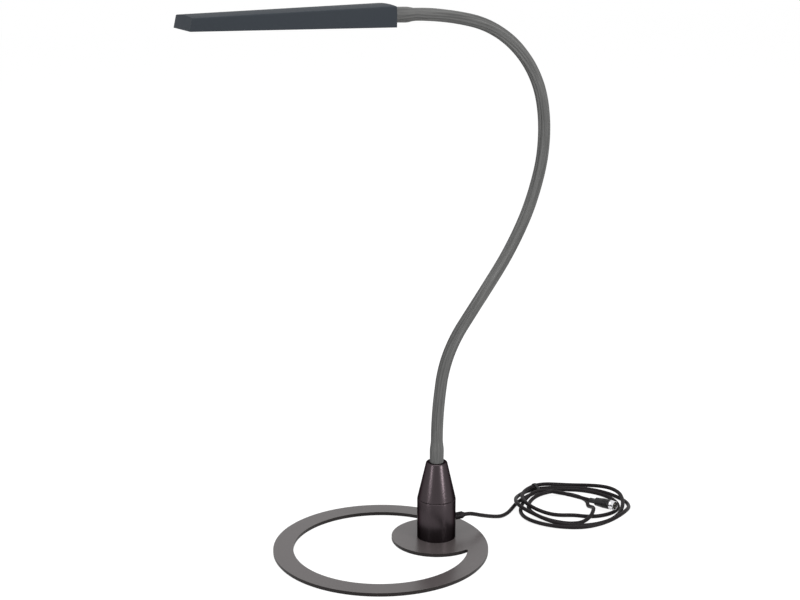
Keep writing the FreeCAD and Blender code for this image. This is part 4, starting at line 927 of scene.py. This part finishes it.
@dataclass
class Lead:
    """The lead from the boss to the connector: a free drop and a loose coil. Millimetres."""

    radius: float = 2.1
    exit: Point = (32.5, 0.0, 21.7)
    length: float = 1473.0
    drop: tuple[Point, ...] = ((38.0, 0.0, 21.7), (45.0, 0.8, 19.6), (54.0, 3.6, 15.6),
                               (66.0, 9.4, 10.2), (78.0, 14.6, 5.4), (88.5, 18.6, 2.6),
                               (100.0, 25.2, 2.1))
    centre: tuple[float, float] = (171.5, 13.0)
    start_angle: float = 154.7
    turn_step: float = 15.0
    course: tuple[Point, ...] = (
        (-6, 64.5, 2.1), (25, 53.0, 2.4), (50, 49.5, 3.2), (90, 46.0, 2.3), (180, 52.0, 2.1),
        (235, 37.0, 2.1), (270, 27.0, 2.4), (310, 35.0, 3.0), (355, 50.5, 7.9),
        (385, 55.5, 8.2), (410, 57.0, 8.0), (455, 60.5, 2.1), (510, 61.0, 8.0),
        (540, 56.5, 6.0), (572, 54.5, 2.1), (630, 55.5, 2.3), (680, 54.0, 6.2),
        (715, 60.5, 8.4), (745, 60.0, 4.3), (770, 57.5, 3.3), (810, 52.0, 2.1),
        (870, 58.0, 2.3), (900, 63.0, 3.2), (928, 61.5, 7.3), (990, 60.5, 2.4),
        (1040, 64.5, 3.3), (1075, 55.0, 2.1), (1118, 44.8, 7.8), (1165, 34.5, 2.1),
        (1215, 24.5, 2.1), (1260, 18.5, 2.1), (1308, 32.5, 7.3), (1350, 50.0, 2.2),
        (1395, 49.0, 2.8), (1430, 47.5, 2.2), (1470, 41.0, 5.2), (1505, 32.0, 7.6))
    tail: Point = (191.9, 6.7, 7.4)
    end: Point = (204.6, -24.0, 9.9)
    tie_turn: float = 50.0
    tie_strands: int = 3
    tie_width: float = 3.4
    tie_wall: float = 0.5
    tie_gap: float = 0.25
    grip_rings: int = 5
    ring_start: float = 18.4
    ring_pitch: float = 1.7
    grip_radius: float = 5.25
    grip_length: float = 27.4
    shell_start: float = 27.5
    shell_radius: float = 5.1
    shell_end: float = 33.2

    def build(self, rack: FinishRack) -> None:
        """Builds the lead, its tie and its connector."""
        tie = self._tie(rack)
        ends = self._connector(rack)
        self._cord(rack)

    @staticmethod
    def _slopes(turns: Sequence[float], values: Sequence[float]) -> list[float]:
        """Slopes for a curve that stays between its waypoints."""
        steps = [after - before for before, after in zip(turns, turns[1:])]
        rates = [(after - before) / step
                 for before, after, step in zip(values, values[1:], steps)]
        slopes = [rates[0]]
        for index in range(1, len(values) - 1):
            before, after = rates[index - 1], rates[index]
            near = 2 * steps[index] + steps[index - 1]
            far = steps[index] + 2 * steps[index - 1]
            flat = before * after <= 0
            slopes.append(0.0 if flat else (near + far) / (near / before + far / after))
        return slopes + [rates[-1]]

    @classmethod
    def _value_at(cls, turns: Sequence[float], values: Sequence[float], turn: float) -> float:
        """The smooth curve's value at one turn angle."""
        slopes = cls._slopes(turns, values)
        index = max(0, min(len(turns) - 2, sum(1 for item in turns if item <= turn) - 1))
        step = turns[index + 1] - turns[index]
        part = (turn - turns[index]) / step
        return ((1 + 2 * part) * (1 - part) ** 2 * values[index]
                + part * (1 - part) ** 2 * step * slopes[index]
                + part ** 2 * (3 - 2 * part) * values[index + 1]
                + part ** 2 * (part - 1) * step * slopes[index + 1])

    def _coil_point(self, turn: float, stretch: float = 1.0) -> Point:
        """A point of the coil at a turn angle, with its reach stretched."""
        turns = [row[0] for row in self.course]
        reach = self._value_at(turns, [row[1] for row in self.course], turn) * stretch
        height = self._value_at(turns, [row[2] for row in self.course], turn)
        angle = math.radians(self.start_angle - turn)
        return (self.centre[0] + reach * math.cos(angle),
                self.centre[1] + reach * math.sin(angle), height)

    def _cord(self, rack: FinishRack) -> None:
        first, last = self.course[0][0], self.course[-1][0]
        count = round((last - first) / self.turn_step)
        stretch = 1.0 / math.cos(math.radians(self.turn_step / 2))
        coil = [self._coil_point(first + (last - first) * index / count, stretch)
                for index in range(count + 1)]
        points = [self.exit, *self.drop, *coil, self.tail]
        curve = bpy.data.curves.new("lead_line", "CURVE")
        curve.dimensions = "3D"
        curve.bevel_depth = self.radius * MM
        curve.bevel_resolution = 5
        curve.resolution_u = 6
        curve.use_fill_caps = True
        spline = curve.splines.new("NURBS")
        spline.points.add(len(points) - 1)
        for point, place in zip(spline.points, points):
            point.co = (*(value * MM for value in place), 1.0)
        spline.order_u = 3
        spline.use_endpoint_u = True
        curve.materials.append(rack.get("LeadBlack"))
        piece = bpy.data.objects.new("lead_line", curve)
        bpy.context.scene.collection.objects.link(piece)
        settle(piece, "base", "cord_black", "cord_lead", "cord_coil")

    def _tie(self, rack: FinishRack) -> Piece:
        """Draws a band tight round the three strands that the tie holds."""
        shape = Shaper("lead_tie")
        bm = shape.bm
        angle = math.radians(self.start_angle - self.tie_turn)
        outward = Vector((math.cos(angle), math.sin(angle), 0))
        across = Vector((math.sin(angle), -math.cos(angle), 0))
        turned = Matrix((outward, Vector((0, 0, 1)), across)).transposed().to_4x4()
        for lap in range(self.tie_strands):
            place = Vector(self._coil_point(self.tie_turn + 360.0 * lap)) * MM
            bmesh.ops.create_circle(bm, cap_ends=False, segments=32,
                                    radius=(self.radius + self.tie_gap) * MM,
                                    matrix=Matrix.Translation(place) @ turned)
        hull = bmesh.ops.convex_hull(bm, input=bm.verts[:], use_existing_faces=False)
        bmesh.ops.delete(bm, geom=hull["geom_interior"], context="VERTS")
        bmesh.ops.dissolve_limit(bm, angle_limit=0.01, verts=bm.verts[:], edges=bm.edges[:])
        bmesh.ops.delete(bm, geom=bm.faces[:], context="FACES_ONLY")
        bmesh.ops.translate(bm, vec=across * -self.tie_width / 2 * MM, verts=bm.verts[:])
        grown, _ = shape.grow(bm.edges[:])
        bmesh.ops.translate(bm, vec=across * self.tie_width * MM, verts=grown)
        bmesh.ops.recalc_face_normals(bm, faces=bm.faces)
        bmesh.ops.solidify(bm, geom=bm.faces[:], thickness=-self.tie_wall * MM)
        shape.clean()
        piece = shape.done(rack.get("GripBlack"), sharp=40.0)
        return settle(piece, "base", "cord_black", "cord_tie")

    def _connector(self, rack: FinishRack) -> list[Piece | str]:
        """Turns the connector's grip and bright shell, and names all of its pieces."""
        tail = Vector(self.tail) * MM
        placed = along(tail, (Vector(self.end) * MM - tail).normalized())
        grip = Shaper("connector_handle")
        outline = [(0.0, 0.0), (2.5, 0.0), (2.9, 0.4), (2.9, 6.2), (3.4, 7.2), (4.5, 8.4),
                   (5.2, 17.0)]
        high = self.grip_radius
        low = high - 0.45
        for ring in range(self.grip_rings):
            start = self.ring_start + self.ring_pitch * ring
            outline += [(high, start), (low, start + 0.25), (low, start + 0.75),
                        (high, start + 1.0)]
        outline += [(high + 0.05, self.grip_length - 0.8), (4.9, self.grip_length),
                    (0.0, self.grip_length)]
        grip.lathe(outline, steps=64)
        grip.place(placed)
        handle = settle(grip.done(rack.get("GripBlack"), sharp=35.0),
                        "base", "black_plastic", "connector_grip")
        shell = Shaper("connector_sleeve")
        first, last, out = self.shell_start, self.shell_end, self.shell_radius
        shell.lathe([(0.0, first), (out - 0.2, first), (out, first + 0.2), (out, first + 1.4),
                     (out - 0.35, first + 1.7), (out - 0.35, last - 0.3), (out - 0.6, last),
                     (out - 0.8, last - 0.1), (out - 0.85, last - 0.3),
                     (out - 0.85, last - 3.0), (0.0, last - 3.0)], steps=96)
        shell.place(placed)
        sleeve = settle(shell.done(rack.get("BrightRing"), sharp=30.0),
                        "base", "bright_shell", "connector_shell")
        return [handle, sleeve, "connector_insert", "connector_pins"]


@dataclass(frozen=True)
class SoftBox:
    """A lamp: its swing from the view in degrees, its place and size in metres, its watts."""

    name: str
    swing: float
    reach: float
    height: float
    size: tuple[float, float]
    power: float

    def hang(self, facing: float, aim: Point) -> None:
        """Hangs the lamp and turns it to its aim.

        Args:
            facing: The way the photograph's camera looks, in degrees from +Y.
            aim: The point that the lamp lights.
        """
        data = bpy.data.lights.new(self.name, "AREA")
        data.shape = "RECTANGLE"
        data.size, data.size_y = self.size
        data.energy = self.power
        lamp = bpy.data.objects.new(self.name, data)
        angle = math.radians(facing + self.swing)
        lamp.location = (-math.sin(angle) * self.reach, -math.cos(angle) * self.reach,
                         self.height)
        turn = (Vector(aim) - lamp.location).to_track_quat("-Z", "Y")
        lamp.rotation_euler = turn.to_euler()
        bpy.context.scene.collection.objects.link(lamp)


@dataclass
class Studio:
    """The photograph's camera, soft lamps, a white floor and a white surround. In metres."""

    camera_place: Point = (-0.6697, -1.3297, 0.6521)
    camera_turn: float = -25.28
    camera_dip: float = 14.84
    lens: float = 69.28
    lamp_aim: Point = (0.0, 0.0, 0.2)
    lamps: tuple[SoftBox, ...] = (
        SoftBox("left_box", 47.0, 1.4, 0.42, (0.15, 0.9), 7.0),
        SoftBox("right_box", -47.0, 1.4, 0.42, (0.18, 0.9), 13.0),
        SoftBox("top_box", 0.0, 0.3, 2.0, (1.6, 1.6), 20.0))
    floor_size: float = 6.0
    floor_drop: float = 0.0002
    floor_tone: float = 0.26
    floor_shine: float = 0.88
    unseen_light: float = 0.45

    def build(self) -> None:
        """Builds the camera, the lamps, the floor and the surround."""
        self._camera()
        self._surround()
        self._floor()
        for lamp in self.lamps:
            lamp.hang(-self.camera_turn, self.lamp_aim)

    def _camera(self) -> None:
        """Stands the camera where the photograph was taken from."""
        data = bpy.data.cameras.new("photo_camera")
        data.lens = self.lens
        data.sensor_width = 36.0
        data.clip_start = 0.05
        data.clip_end = 50.0
        camera = bpy.data.objects.new("photo_camera", data)
        camera.location = self.camera_place
        camera.rotation_euler = (math.radians(90.0 - self.camera_dip), 0.0,
                                 math.radians(self.camera_turn))
        bpy.context.scene.collection.objects.link(camera)
        bpy.context.scene.camera = camera

    @staticmethod
    def _seen(graph: Graph) -> Socket:
        """A value of 1 for rays that show the background, straight on or in a reflection."""
        path = graph.add("ShaderNodeLightPath")
        first = graph.maths("MAXIMUM", path.outputs["Is Camera Ray"],
                            path.outputs["Is Glossy Ray"])
        return graph.maths("MAXIMUM", first, path.outputs["Is Transmission Ray"])

    def _surround(self) -> None:
        """Makes the world white where it is seen and softer where it lights."""
        world = bpy.data.worlds.new("white_surround")
        bpy.context.scene.world = world
        world.use_nodes = True
        world.node_tree.nodes.clear()
        graph = Graph(world.node_tree)
        strength = graph.spread(self._seen(graph), self.unseen_light, 1.0)
        background = graph.add("ShaderNodeBackground", {"Color": (1, 1, 1, 1),
                                                        "Strength": strength})
        graph.add("ShaderNodeOutputWorld", {"Surface": background.outputs["Background"]})

    def _floor(self) -> None:
        """Lays a white floor that keeps only a soft shadow."""
        shape = Shaper("studio_floor")
        bmesh.ops.create_grid(shape.bm, x_segments=1, y_segments=1, size=self.floor_size)
        shape.place(Matrix.Translation((0, 0, -self.floor_drop)))
        made = bpy.data.materials.new("StudioWhite")
        made.use_nodes = True
        made.node_tree.nodes.clear()
        graph = Graph(made.node_tree)
        tone = self.floor_tone
        diffuse = graph.add("ShaderNodeBsdfDiffuse", {"Color": (tone, tone, tone, 1)})
        share = graph.maths("MULTIPLY", self._seen(graph), self.floor_shine)
        shine = graph.add("ShaderNodeEmission", {"Color": (1, 1, 1, 1), "Strength": share})
        both = graph.add("ShaderNodeAddShader")
        graph.feed(both.inputs[0], diffuse.outputs[0])
        graph.feed(both.inputs[1], shine.outputs[0])
        graph.add("ShaderNodeOutputMaterial", {"Surface": both.outputs[0]})
        shape.done(made)


def settings() -> None:
    """Keeps the plain view transform."""
    bpy.context.scene.view_settings.view_transform = "Standard"


def main() -> None:
    """Loads the frame and builds the lamp around it."""
    logging.basicConfig(level=logging.INFO, format="%(message)s")
    for item in list(bpy.data.objects):
        bpy.data.objects.remove(item)
    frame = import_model()
    settings()
    Studio().build()
    rack = FinishRack()
    rack.dress_frame(frame)
    Lead().build(rack)
    RingBase().build(rack)
    SwivelBoss().build(rack)
    path = NeckPath()
    NeckSleeve(path).build(rack)
    LightHead(path).build(rack)


if __name__ == "__main__":
    main()
